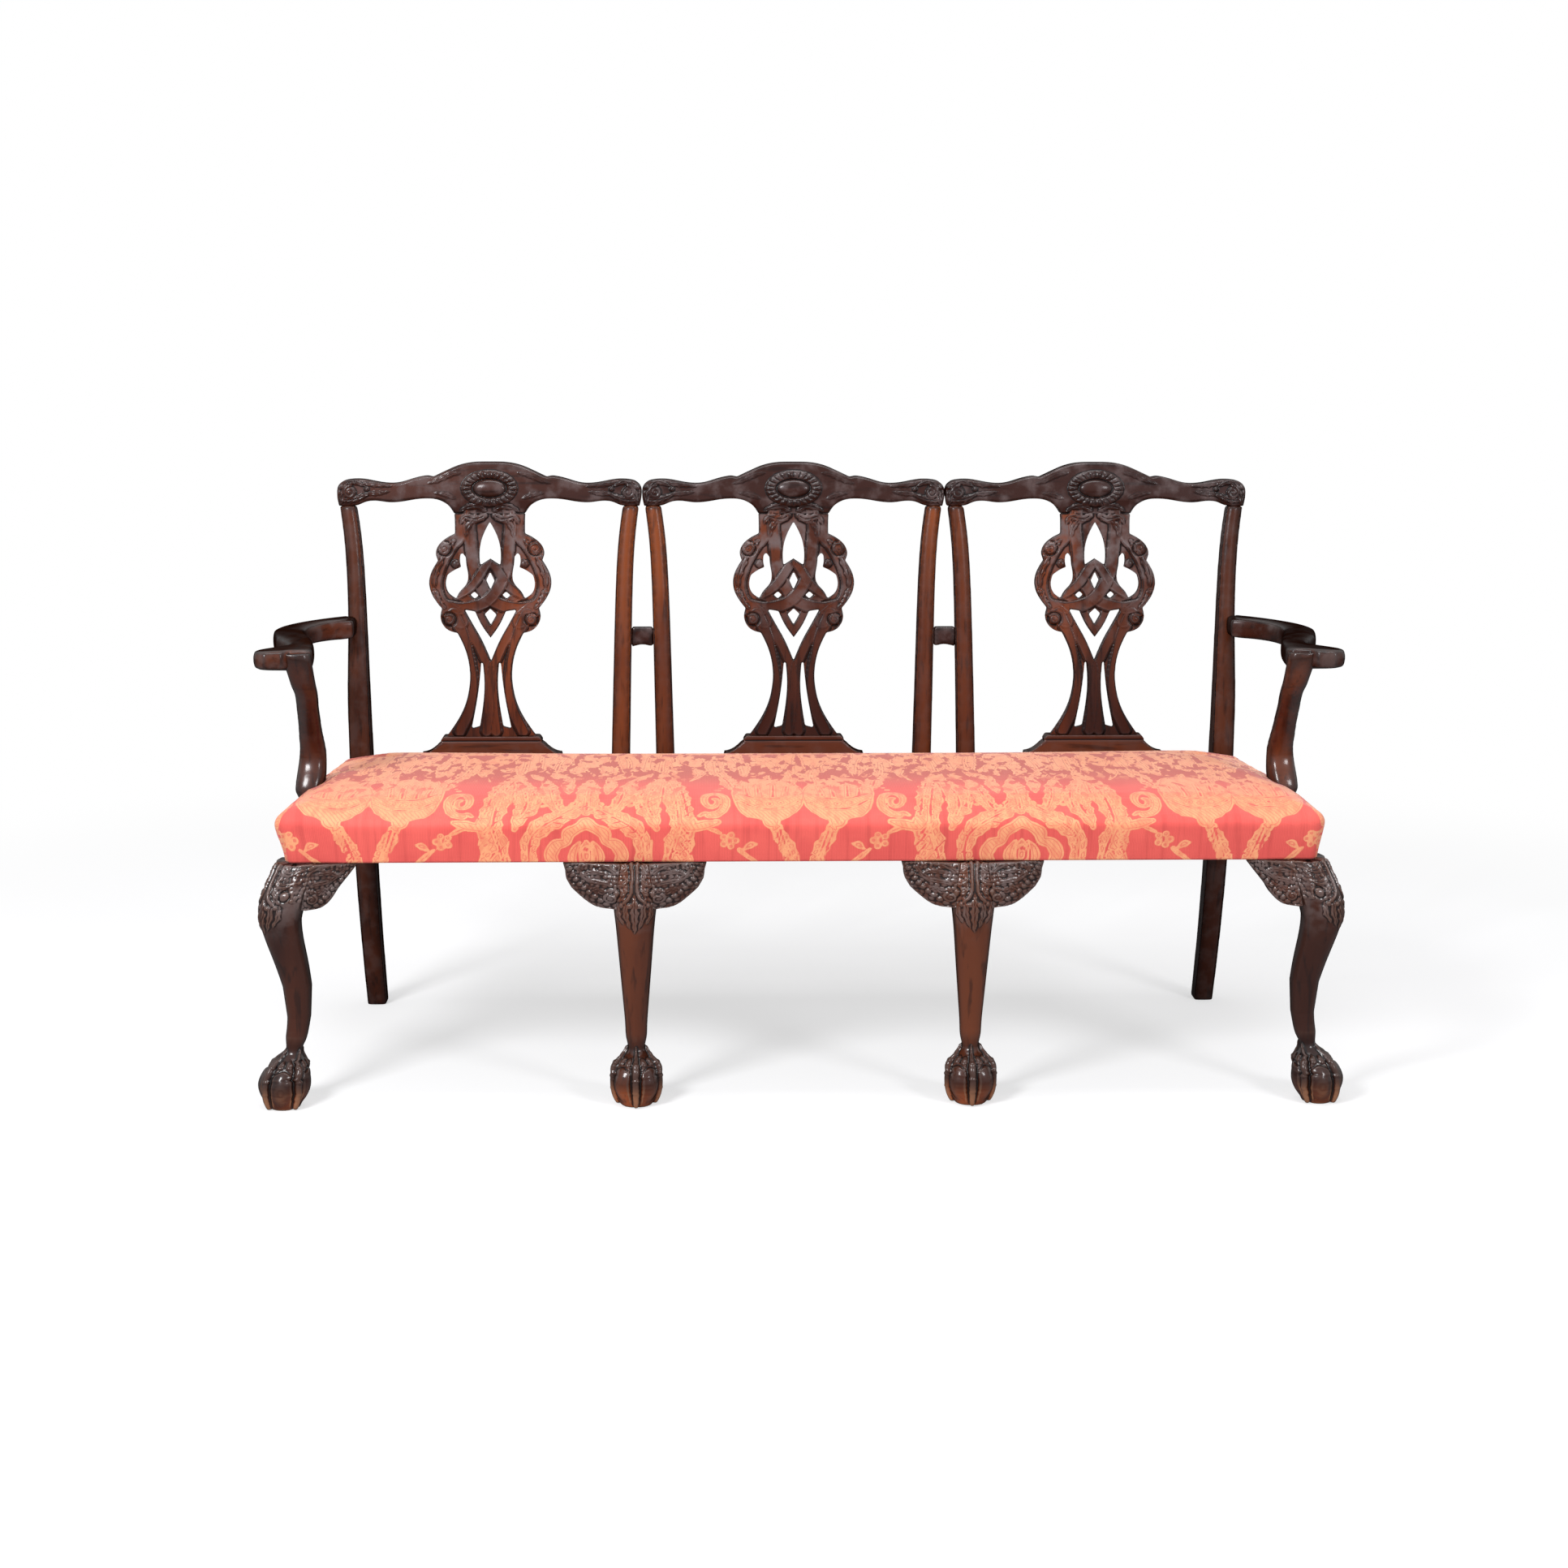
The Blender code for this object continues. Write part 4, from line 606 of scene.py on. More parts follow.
class Relief:
    def __init__(self, points, ground=0.0):
        self.points = points
        self.height = np.full(len(points), float(ground))

    def draw(self, strokes, shift=0.0):
        for kind, path, *sizes in strokes:
            place = np.array(path, float) + (shift, 0.0)
            getattr(self, kind)(smoothLine(place) if place.ndim == 2 else place, *sizes)

    def lift(self, found, height):
        self.height[found] = np.maximum(self.height[found], height)

    def gapTo(self, centre):
        return np.hypot(*(self.points - np.array(centre)).T)

    def ridge(self, line, width, height):
        found, gap, along = nearLine(self.points, line, width)
        self.lift(found, height * np.sqrt(np.clip(1 - (gap / width) ** 2, 0, 1)))

    def groove(self, line, width, depth, s=strokeSet):
        found, gap, along = nearLine(self.points, line, width)
        fade = np.minimum(1.0, s["grooveFade"] * np.minimum(along, 1 - along) + s["grooveEnd"])
        self.height[found] -= depth * fade * ease(1 - gap / width)

    def leaf(self, line, width, height, lobes, s=strokeSet):
        found, gap, along = nearLine(self.points, line, width)
        belly = np.sin(np.pi * np.clip(along, *s["leafEnds"]) ** s["leafBelly"]) ** s["leafBelly"]
        edge = width * belly * (1 - s["leafNotch"] * np.abs(np.cos(np.pi * lobes * along)))
        share = np.clip(1 - (gap / edge) ** 2, 0, 1)
        vein = s["veinDepth"] * np.exp(-(gap / (s["veinWidth"] * width)) ** 2)
        rays = s["rayHeight"] * np.cos(2 * np.pi * lobes * (along + s["raySlant"] * gap / width))
        body = height * np.sqrt(share) * (1 - vein + rays * np.minimum(1, gap / (s["rayFrom"] * width)))
        self.lift(found[share > 0], body[share > 0])

    def bead(self, centre, radius, height):
        gap = self.gapTo(centre)
        found = np.nonzero(gap < radius)[0]
        self.lift(found, height * np.sqrt(1 - (gap[found] / radius) ** 2))

    def volute(self, centre, radius, height, start, way, s=strokeSet):
        coil = spiralLine(centre, radius * s["coilRadius"], s["coilTurns"], start, way)
        self.ridge(coil, radius * s["coilWidth"], height)
        self.bead(centre, radius * s["eyeRadius"], height * s["eyeHeight"])

    def grain(self, low, high, pitch, height, seed, s=strokeSet):
        chance = np.random.RandomState(seed)
        for x in np.arange(low[0], high[0], pitch):
            for y in np.arange(low[1], high[1], pitch):
                centre = np.array((x, y)) + chance.uniform(-s["grainShift"], s["grainShift"], 2) * pitch
                radius = pitch * chance.uniform(*s["grainRadius"])
                self.bead(centre, radius, height * chance.uniform(*s["grainHeight"]))

    def moat(self, centre, radius, width, depth):
        gap = np.abs(self.gapTo(centre) - radius)
        self.height -= depth * ease(1 - gap / width)

    def swell(self, centre, reach, height, s=strokeSet):
        gap = np.hypot(*((self.points - np.array(centre)) / np.array(reach)).T)
        self.height += height * np.clip(1 - gap ** 2, 0, 1) ** s["swellPower"]

    def strap(self, line, half, rise, levels, s=strokeSet):
        found, gap, along = nearLine(self.points, line, half)
        share = gap / half
        hollow = s["strapMiddle"] + (1 - s["strapMiddle"]) * share ** s["strapHollow"]
        profile = rise * hollow * ease((1 - share) / s["strapLip"])
        lift = np.interp(along, *zip(*levels))
        inside = share < 1
        self.lift(found[inside], (profile + lift)[inside])


# Carved fronts: a curve fitted to the flat of the face, and a weight that fades where the face turns
frontSet = {"flat": 0.9, "order": 3, "turn": 0.25, "fade": 0.5, "full": 0.98}


def frontFit(places, faces, limit, s=frontSet):
    front = (faces[:, 1] < -s["flat"]) & limit
    return np.poly1d(np.polyfit(places[front, 2], places[front, 1], s["order"]))


def frontOf(places, faces, fit, deep, s=frontSet):
    inFront = (places[:, 1] - fit(places[:, 2]) < deep) & (faces[:, 1] < -s["turn"])
    return inFront, ease((-faces[inFront, 1] - s["turn"]) / s["fade"])


# Splats: interlaced straps drawn on the grid of hundredths that pierces them
splatSet = {
    "sharp": 0.6, "levels": 2, "voxel": 0.00135, "smooth": 4,
    "half": 106.0, "foot": 496.6, "rise": 383.1, "grid": 100, "ground": -1.6, "frontDeep": 0.004,
    "fall": {
        "knots": [(30, 103), (33, 94), (30, 84), (27, 76), (16, 68), (0, 62), (-20, 58.8), (-48, 57.5),
                  (-72, 58.5)],
        "half": 11.0, "rise": 1.5, "crossing": 0.55, "over": 0.9,
        "before": [(0, 0.3), (0.36, 0.3), (0.44, -0.9)], "after": [(0.7, 0.6), (1, 0.0)],
    },
    "straps": [
        ([(0, 80), (14, 73.5), (32, 67), (54, 63.3)], 8.0, 1.4, [(0, 0.2), (0.5, 0.5), (1, -0.3)]),
        ([(54, 63.5), (36, 61.5), (22, 57), (10, 51.5), (0, 45)], 8.0, 1.4,
         [(0, -0.3), (0.45, -1.0), (0.8, 0.2), (1, 0.0)]),
        ([(46, 103), (49, 92), (66, 86), (84, 77), (92, 68), (84, 60), (64, 56), (48, 52)], 15.0, 1.8,
         [(0, 0.0), (1, 0.0)]),
        ([(60, 55), (46, 46), (37, 36), (31, 25), (34, 13), (52, 2)], 11.0, 1.5, [(0, 0.4), (1, 0.1)]),
        ([(48, 56), (30, 47), (15, 38.5), (4, 30), (3, 16), (8, 2)], 10.0, 1.4, [(0, -0.2), (1, 0.0)]),
    ],
    "leaves": [
        ([(58, 88), (78, 82), (90, 73), (91, 66)], 10.0, 2.6, 5),
        ([(91, 66), (86, 61), (72, 57)], 9.0, 2.4, 4),
        ([(6, 99.5), (22, 97.6), (40, 98.6), (48, 95.2)], 9.0, 2.8, 4),
        ([(24, 98), (36, 94), (40, 89)], 6.5, 2.2, 3),
    ],
    "volutes": [((74, 84.5), 11.5, 2.8, 200, -1), ((67, 52.6), 10.5, 2.6, 120, 1)],
    "beads": [((56, 77.5), 6.5, 2.4), ((8, 99.3), 5.0, 2.6)],
    "moats": [((74, 84.5), 12.5, 3.0, 2.2), ((67, 52.6), 11.5, 3.0, 2.2)],
}


def onSplat(s, side, spot):
    u, v = spot
    return side * u / s["grid"] * s["half"], s["foot"] + v / s["grid"] * s["rise"]


def splatLine(s, side, knots):
    return smoothLine([onSplat(s, side, spot) for spot in knots])


def drawSplat(work, s, side):
    fall = s["fall"]
    levels = fall["before"] + [(fall["crossing"], fall["over"] * side)] + fall["after"]
    work.strap(splatLine(s, side, fall["knots"]), fall["half"], fall["rise"], levels)
    for knots, *sizes in s["straps"]:
        work.strap(splatLine(s, side, knots), *sizes)
    for knots, *sizes in s["leaves"]:
        work.leaf(splatLine(s, side, knots), *sizes)
    for spot, radius, height, start, way in s["volutes"]:
        work.volute(onSplat(s, side, spot), radius, height, start, way * side)
    for spot, *sizes in s["beads"]:
        work.bead(onSplat(s, side, spot), *sizes)
    for spot, *sizes in s["moats"]:
        work.moat(onSplat(s, side, spot), *sizes)


def carveSplat(mesh, s):
    places, faces = coords(mesh), normals(mesh)
    fit = frontFit(places, faces, np.full(len(places), True))
    inFront, weight = frontOf(places, faces, fit, s["frontDeep"])
    work = Relief(places[inFront][:, (0, 2)] * mm, s["ground"])
    for side in (1, -1):
        drawSplat(work, s, side)
    ground = np.where(weight > frontSet["full"], fit(places[inFront, 2]), places[inFront, 1])
    places[inFront, 1] = ground - work.height * weight / mm
    setCoords(mesh, places)


splatMesh = refined("splat_middle", splatSet)
carveSplat(splatMesh, splatSet)
markRecess(splatMesh)
addThree("carved_splat_", "splat_", splatMesh, mahogany["upright"])
print("splats carved:", len(splatMesh.polygons), "faces each")

# Crest rails: carved ears and shoulders, and a cabochon in a ruffled border
crestSet = {
    "sharp": 0.6, "levels": 2, "voxel": 0.00125, "smooth": 4,
    "frontDeep": 0.003, "fitBand": (0.07, 0.2),
    "strokes": [
        ("volute", (240, 917), 13.5, 3.6, 90, -1),
        ("leaf", [(256, 897), (248, 922), (236, 935), (214, 927)], 8.5, 3.0, 6),
        ("leaf", [(254, 903), (230, 905), (205, 915)], 7.0, 2.8, 5),
        ("leaf", [(216, 932), (190, 930), (168, 927)], 6.0, 1.6, 4),
        ("leaf", [(212, 914), (190, 915), (172, 918)], 5.0, 1.4, 4),
        ("bead", (211, 922), 4.0, 3.4),
        ("bead", (257, 926), 4.5, 3.0),
        ("leaf", [(58, 906), (74, 912), (96, 916)], 5.0, 1.2, 4),
        ("leaf", [(50, 950), (68, 946), (90, 936), (108, 931)], 5.0, 1.2, 5),
        ("leaf", [(8, 888), (24, 893), (42, 889), (52, 882)], 7.5, 2.6, 4),
        ("bead", (10, 884), 5.0, 2.4),
    ],
    "centre": 923.5, "dome": (28.0, 15.0), "domeHeight": 6.5, "domeSink": 0.5,
    "gap": 1.12, "gapDepth": 1.2,
    "border": (48.5, 31.0), "borderHeight": 4.2, "borderLean": 1.9,
    "lobes": 11, "lobeFloor": 0.4, "lobePower": 0.7,
    "ovalEdge": 0.98, "ovalFade": 0.08,
    "neckHalf": 66.0, "neckTop": 906.0, "neckDrop": 4.5, "neckEase": 24.0, "neckSide": 12.0,
}


def carveCrest(mesh, s):
    places, faces = coords(mesh), normals(mesh)
    wide = np.abs(places[:, 0])
    near, far = s["fitBand"]
    fit = frontFit(places, faces, (wide > near) & (wide < far))
    inFront, weight = frontOf(places, faces, fit, s["frontDeep"])
    u, z = wide[inFront] * mm, places[inFront, 2] * mm
    work = Relief(np.stack([u, z], 1))
    work.draw(s["strokes"])
    inner = np.hypot(u / s["dome"][0], (z - s["centre"]) / s["dome"][1])
    beside, above = u / s["border"][0], (z - s["centre"]) / s["border"][1]
    outer = np.hypot(beside, above)
    past = inner - s["gap"]
    share = np.clip(past / np.maximum(past + (1 - outer) * s["borderLean"], 1e-6), 0, 1)
    lobe = np.abs(np.cos(s["lobes"] * np.arctan2(above, beside))) ** s["lobePower"]
    lobe = s["lobeFloor"] + (1 - s["lobeFloor"]) * lobe
    ruffle = s["borderHeight"] * np.sin(np.pi * share) ** 0.5 * lobe
    dome = s["domeHeight"] * np.sqrt(np.clip(1 - inner ** 2, 0, 1)) - s["domeSink"]
    middle = np.where(inner < 1, dome, np.where(inner < s["gap"], -s["gapDepth"], ruffle))
    inOval = 1 - ease((outer - s["ovalEdge"]) / s["ovalFade"])
    underNeck = ease((s["neckTop"] - z) / s["neckEase"]) * (1 - ease((u - s["neckHalf"]) / s["neckSide"]))
    height = inOval * middle + (1 - inOval) * (work.height - s["neckDrop"] * underNeck)
    ground = (1 - inOval) * places[inFront, 1] + inOval * fit(places[inFront, 2])
    places[inFront, 1] = ground - height * weight / mm
    setCoords(mesh, places)


crestMesh = refined("crest_rail_middle", crestSet)
carveCrest(crestMesh, crestSet)
markRecess(crestMesh)
addThree("carved_crest_", "crest_rail_", crestMesh, mahogany["across"])
print("crests carved:", len(crestMesh.polygons), "faces each")

# Splat shoes, stiles, ties, arms and arm supports: refined copies, most of them reshaped a little
plainSets = {
    "shoe": {"sharp": 0.6, "levels": 1, "voxel": 0.0015, "smooth": 3},
    "stile": {"sharp": 0.6, "levels": 2, "voxel": 0.0024, "smooth": 10},
    "arm": {"sharp": 0.55, "levels": 2, "voxel": 0.0016, "smooth": 12},
    "support": {"sharp": 0.9, "levels": 2, "voxel": 0.0016, "smooth": 8, "cap": 0.669},
}
shoeFlare = {
    "low": 0.466, "high": 0.4960, "foot": 0.1225, "top": 0.0835, "hollow": 0.50,
    "levels": (0.450, 0.4945, 24), "slice": 0.0015, "footEase": 0.004,
    "band": 0.4885, "bandHalf": 0.0016, "bandDeep": 0.0016, "frontDeep": 0.012,
}


def flareShoe(mesh, s):
    places = coords(mesh)
    z = places[:, 2]
    share = np.clip((z - s["low"]) / (s["high"] - s["low"]), 0, 1)
    half = s["foot"] + (s["top"] - s["foot"]) * share ** s["hollow"]
    levels = np.linspace(*s["levels"])
    reach = [np.abs(places[np.abs(z - level) < s["slice"], 0]).max() for level in levels]
    own = np.interp(z, levels, reach)
    places[:, 0] *= 1 + (half / own - 1) * ease((z - levels[0]) / s["footEase"])
    front = places[:, 1] < places[:, 1].min() + s["frontDeep"]
    places[:, 1] += s["bandDeep"] * np.exp(-((z - s["band"]) / s["bandHalf"]) ** 2) * front
    setCoords(mesh, places)


def rowEdges(places, thick, axis=0):
    rows = np.round(places[:, 2] / thick).astype(int)
    low, high = np.full(rows.max() + 1, 9.0), np.full(rows.max() + 1, -9.0)
    np.minimum.at(low, rows, places[:, axis])
    np.maximum.at(high, rows, places[:, axis])
    used = np.unique(rows)
    return [np.interp(places[:, 2], used * thick, edge[used]) for edge in (low, high)]


stileRound = {"slice": 0.004, "drop": 0.0065, "power": 2.2, "turn": 0.2, "fade": 0.5}
stileRecess = {"rounds": 2, "depth": 0.00030}


def roundFront(mesh, s):
    places, faces = coords(mesh), normals(mesh)
    low, high = rowEdges(places, s["slice"])
    share = (2 * places[:, 0] - low - high) / np.maximum(high - low, 1e-6)
    places[:, 1] += s["drop"] * np.abs(share) ** s["power"] * ease((-faces[:, 1] - s["turn"]) / s["fade"])
    setCoords(mesh, places)


armShape = {
    "handBack": -0.165, "handEase": 0.012, "scrollX": -0.8125, "scrollEase": 0.010,
    "innerBack": 0.010, "innerEase": 0.03, "handRise": 0.005, "handTop": 0.704, "riseEase": 0.030,
    "outerFrom": -0.795, "outerEase": 0.035,
    "sweep": [(-0.21, -0.006), (-0.165, -0.005), (-0.13, 0.002), (-0.097, 0.006), (-0.05, 0.003),
              (0.0, -0.003), (0.084, -0.006), (0.16, -0.003), (0.25, 0.0)],
}


def shapeArm(mesh, s):
    places = coords(mesh)
    onHand = ease((s["handBack"] - places[:, 1]) / s["handEase"])
    inner = ease((places[:, 0] - s["scrollX"]) / s["scrollEase"]) * onHand
    places[:, 1] += s["innerBack"] * inner * ease((s["handBack"] - places[:, 1]) / s["innerEase"])
    places[:, 2] += s["handRise"] * onHand * ease((s["handTop"] - places[:, 2]) / s["riseEase"])
    outer = ease((s["outerFrom"] - places[:, 0]) / s["outerEase"])
    places[:, 0] += np.interp(places[:, 1], *zip(*s["sweep"])) * outer
    setCoords(mesh, places)


supportShape = {
    "slice": 0.004, "from": 0.440, "fromEase": 0.02, "riseFrom": 0.640, "rise": 0.0300, "flarePower": 1.5,
    "forward": smoothLine([(0.40, 0.0), (0.44, -0.002), (0.48, -0.005), (0.52, -0.002), (0.57, 0.0),
                           (0.61, -0.005), (0.64, -0.013), (0.659, -0.022), (0.669, -0.020)]),
    "flare": smoothLine([(0.40, 0.010), (0.44, 0.017), (0.46, 0.018), (0.48, 0.013), (0.50, 0.006),
                         (0.52, 0.001), (0.54, 0.0), (0.60, 0.0)]),
    "edges": smoothLine([
        (0.440, -0.8215, -0.7800), (0.458, -0.8225, -0.7785), (0.475, -0.8215, -0.7750),
        (0.493, -0.8190, -0.7735), (0.513, -0.8160, -0.7728), (0.533, -0.8135, -0.7738),
        (0.560, -0.8102, -0.7745), (0.591, -0.8060, -0.7722), (0.613, -0.8042, -0.7700),
        (0.633, -0.8036, -0.7672), (0.650, -0.8085, -0.7684), (0.669, -0.8200, -0.7730),
    ]),
}


def shapeSupport(mesh, s):
    places = coords(mesh)
    z = places[:, 2].copy()
    places[:, 1] += np.interp(z, *s["forward"].T)
    low, high = rowEdges(places, s["slice"], 1)
    share = np.maximum(high - places[:, 1], 0) / np.maximum(high - low, 1e-6)
    places[:, 1] -= np.interp(z, *s["flare"].T) * share ** s["flarePower"]
    low, high = rowEdges(places, s["slice"])
    share = (places[:, 0] - low) / np.maximum(high - low, 1e-6)
    level, outer, inner = s["edges"].T
    wanted = np.interp(z, level, outer) * (1 - share) + np.interp(z, level, inner) * share
    places[:, 0] += (wanted - places[:, 0]) * ease((z - s["from"]) / s["fromEase"])
    places[:, 2] += s["rise"] * ease((z - s["riseFrom"]) / (z.max() - s["riseFrom"]))
    setCoords(mesh, places)


shoeMesh = refined("splat_shoe_middle", plainSets["shoe"])
flareShoe(shoeMesh, shoeFlare)
markRecess(shoeMesh)
addThree("moulded_shoe_", "splat_shoe_", shoeMesh, mahogany["shoe"])
stileTones = {"outer_stile_left": "post", "inner_stile_left_a": "stile", "inner_stile_left_b": "stile"}
for node, tone in stileTones.items():
    stileMesh = refined(node, plainSets["stile"])
    roundFront(stileMesh, stileRound)
    markRecess(stileMesh, **stileRecess)
    addBoth("shaped_", node, stileMesh, mahogany[tone])
for node in ("stile_tie_left", "stile_tie_right"):
    tieMesh = refined(node, plainSets["stile"])
    markRecess(tieMesh)
    addPiece("shaped_" + node, tieMesh, mahogany["across"], "mahogany", node)
armMesh = refined("arm_left", plainSets["arm"])
shapeArm(armMesh, armShape)
markRecess(armMesh)
addBoth("shaped_", "arm_left", armMesh, mahogany["arm"])
supportMesh = refined("arm_support_left", plainSets["support"])
shapeSupport(supportMesh, supportShape)
markRecess(supportMesh)
addBoth("shaped_", "arm_support_left", supportMesh, mahogany["support"])
print("plain pieces softened")

# Front legs: carved knees, and feet whose talons hold a ball
legSet = {
    "sharp": 0.9, "levels": 2, "voxel": 0.0014, "smooth": 5, "slice": 0.004,
    "knee": [
        ("grain", (10, 334), (60, 392), 6.6, 1.3, 3),
        ("ridge", [(4.5, 392), (4.5, 352), (8, 338), (17, 329)], 2.6, 2.8),
        ("leaf", [(9, 384), (24, 374), (48, 380)], 6.0, 2.0, 5),
        ("leaf", [(9, 366), (22, 357), (46, 362)], 6.0, 2.0, 5),
        ("leaf", [(10, 350), (20, 342), (30, 346)], 4.5, 2.6, 3),
        ("leaf", [(0, 334), (0, 306), (0, 280)], 8.0, 2.4, 4),
        ("leaf", [(14, 328), (13, 308), (7, 288)], 6.0, 2.2, 3),
        ("leaf", [(27, 326), (25, 310), (17, 294)], 5.5, 2.0, 3),
        ("bead", (8, 324), 4.2, 3.0),
        ("bead", (21, 325), 4.2, 3.0),
        ("bead", (32, 342), 8.0, 4.0),
        ("moat", (32, 342), 8.5, 2.6, 1.8),
        ("groove", [(10, 392), (10, 352), (14, 338)], 2.4, 1.6),
    ],
    "kneeLow": 230.0, "kneeEase": 40.0, "kneeTop": 387.0, "kneeTopEase": 4.0,
    "cornerSink": 2.5, "cornerTurn": 0.80, "cornerHalf": 0.24, "cornerLow": 312.0, "cornerEase": 14.0,
    "footRadius": 30.0, "talonTurns": (0.0, 0.5 * math.pi, math.pi),
    "talon": [
        ("ridge", [(0, 96), (0, 70), (0, 40), (0, 6)], 4.4, 5.0),
        ("bead", (0, 74), 5.6, 6.0),
        ("bead", (0, 50), 5.2, 6.0),
        ("bead", (0, 27), 4.6, 5.6),
        ("groove", [(-8.0, 84), (-7.2, 48), (-6, 6)], 3.4, 3.2),
        ("groove", [(8.0, 84), (7.2, 48), (6, 6)], 3.4, 3.2),
    ],
    "web": [
        ("bead", (15, 79), 7.0, 3.4),
        ("bead", (32, 79), 7.0, 3.4),
        ("bead", (62, 79), 7.0, 3.4),
        ("bead", (79, 79), 7.0, 3.4),
        ("groove", [(7, 64), (23.5, 71), (40, 64)], 3.0, 1.8),
        ("groove", [(54, 64), (70.5, 71), (87, 64)], 3.0, 1.8),
        ("bead", (0, 96), 5.4, 3.4),
        ("swell", (23.5, 40), (19, 34), 7.0),
        ("swell", (70.5, 40), (19, 34), 7.0),
    ],
    "waist": [(4.2, 69, 12), (-5.0, 98, 10)],
    "footTop": 112.0, "footEase": 16.0, "soleEase": 5.0,
}


def legFrame(places, s, facing):
    rows = np.round(places[:, 2] / s["slice"]).astype(int)
    count = np.maximum(np.bincount(rows), 1)
    level = np.arange(len(count)) * s["slice"]
    middle = np.stack([np.bincount(rows, places[:, i]) / count for i in (0, 1)], 1)
    centre = np.stack([np.interp(places[:, 2], level, middle[:, i]) for i in (0, 1)], 1)
    away = places[:, :2] - centre
    reach = np.hypot(*away.T)
    size = np.interp(places[:, 2], level, np.bincount(rows, reach) / count)
    turn = np.arctan2(away[:, 0], -away[:, 1]) - facing
    turn = (turn + np.pi) % (2 * np.pi) - np.pi
    return turn, size


def carveLeg(mesh, s, facing):
    places, faces = coords(mesh), normals(mesh)
    turn, size = legFrame(places, s, facing)
    turn = np.abs(turn)
    z = places[:, 2] * mm
    knee = Relief(np.stack([turn * size * mm, z], 1))
    knee.draw(s["knee"])
    corner = np.exp(-((turn - s["cornerTurn"]) / s["cornerHalf"]) ** 2)
    knee.height -= s["cornerSink"] * corner * ease((z - s["cornerLow"]) / s["cornerEase"])
    foot = Relief(np.stack([turn * s["footRadius"], z], 1))
    for angle in s["talonTurns"]:
        foot.draw(s["talon"], angle * s["footRadius"])
    foot.draw(s["web"])
    waist = sum(out * np.exp(-((z - level) / half) ** 2) for out, level, half in s["waist"])
    toKnee = ease((z - s["kneeLow"]) / s["kneeEase"]) * (1 - ease((z - s["kneeTop"]) / s["kneeTopEase"]))
    toFoot = (1 - ease((z - s["footTop"]) / s["footEase"])) * ease(z / s["soleEase"])
    height = (knee.height * toKnee + (foot.height + waist) * toFoot) / mm
    setCoords(mesh, places + faces * height[:, None])


footSet = {"drop": 0.010, "ball": 0.022, "settle": 0.062, "ankle": 0.088, "stretch": 0.050}


def lowerFoot(mesh, s):
    places = coords(mesh)
    z = places[:, 2]
    shoulder = ease((z - s["ball"]) / s["settle"]) * (1 - ease((z - s["ankle"]) / s["stretch"]))
    places[:, 2] -= s["drop"] * shoulder
    setCoords(mesh, places)


def bendLeg(mesh, s):
    places = coords(mesh)
    places[:, :2] += np.interp(places[:, 2], *zip(*s["bend"]))[:, None]
    setCoords(mesh, places)


legKinds = {
    "inner": {"facing": 0.0, "tone": "leg"},
    "outer": {
        "facing": -0.25 * math.pi, "tone": "corner",
        "bend": [(0.0, -0.004), (0.08, -0.003), (0.11, 0.0), (0.14, 0.0045), (0.19, 0.006), (0.25, 0.0),
                 (0.30, -0.0055), (0.34, -0.004), (0.38, -0.001), (0.40, 0.0)],
    },
}
for word, kind in legKinds.items():
    node = "front_leg_" + word + "_left"
    legMesh = refined(node, legSet)
    carveLeg(legMesh, legSet, kind["facing"])
    lowerFoot(legMesh, footSet)
    if "bend" in kind:
        bendLeg(legMesh, kind)
    markRecess(legMesh)
    addBoth("carved_", node, legMesh, mahogany[kind["tone"]])
    print("leg carved:", word, len(legMesh.polygons), "faces")

# Knee brackets: beads along the lower edge, a scroll beside the leg, and leaves
bracketSet = {
    "sharp": 0.7, "levels": 2, "voxel": 0.0013, "smooth": 4, "span": 0.107,
    "turn": 0.3, "fade": 0.5,
    "ground": ("grain", (20, 318), (118, 392), 6.0, 1.7, 5),
    "fanLeaf": (5.6, 1.9, 4),
    "fan": [
        [(34, 372), (52, 384), (78, 387)],
        [(40, 356), (66, 362), (92, 380)],
        [(48, 372), (66, 373), (84, 365)],
        [(56, 350), (64, 344), (68, 336)],
        [(40, 347), (50, 342), (58, 350)],
    ],
    "scroll": ("volute", (42, 334), 9.0, 3.2, 60, -1),
    "borderBead": (4.2, 3.4),
    "border": [(47, 325), (53, 330), (59, 336), (65, 342), (71, 348), (77, 354), (84, 361), (91, 368),
               (99, 376)],
    "swell": [(318, 12), (326, 15), (336, 16.5), (350, 14.5), (360, 12), (372, 8.5), (386, 4.5)],
    "swellStart": 34.0, "swellReach": 72.0, "swellPower": 1.3, "back": 0.004, "swellDeep": 0.016,
    "pull": 8.0, "pullEase": 34.0,
    "outline": {
        "inner": [(318, 1.14), (334, 1.18), (347, 1.22), (361, 1.16), (374, 1.04), (388, 0.97)],
        "outer": [(318, 0.95), (330, 0.86), (345, 0.82), (366, 0.90), (380, 0.94), (388, 0.95)],
    },
}


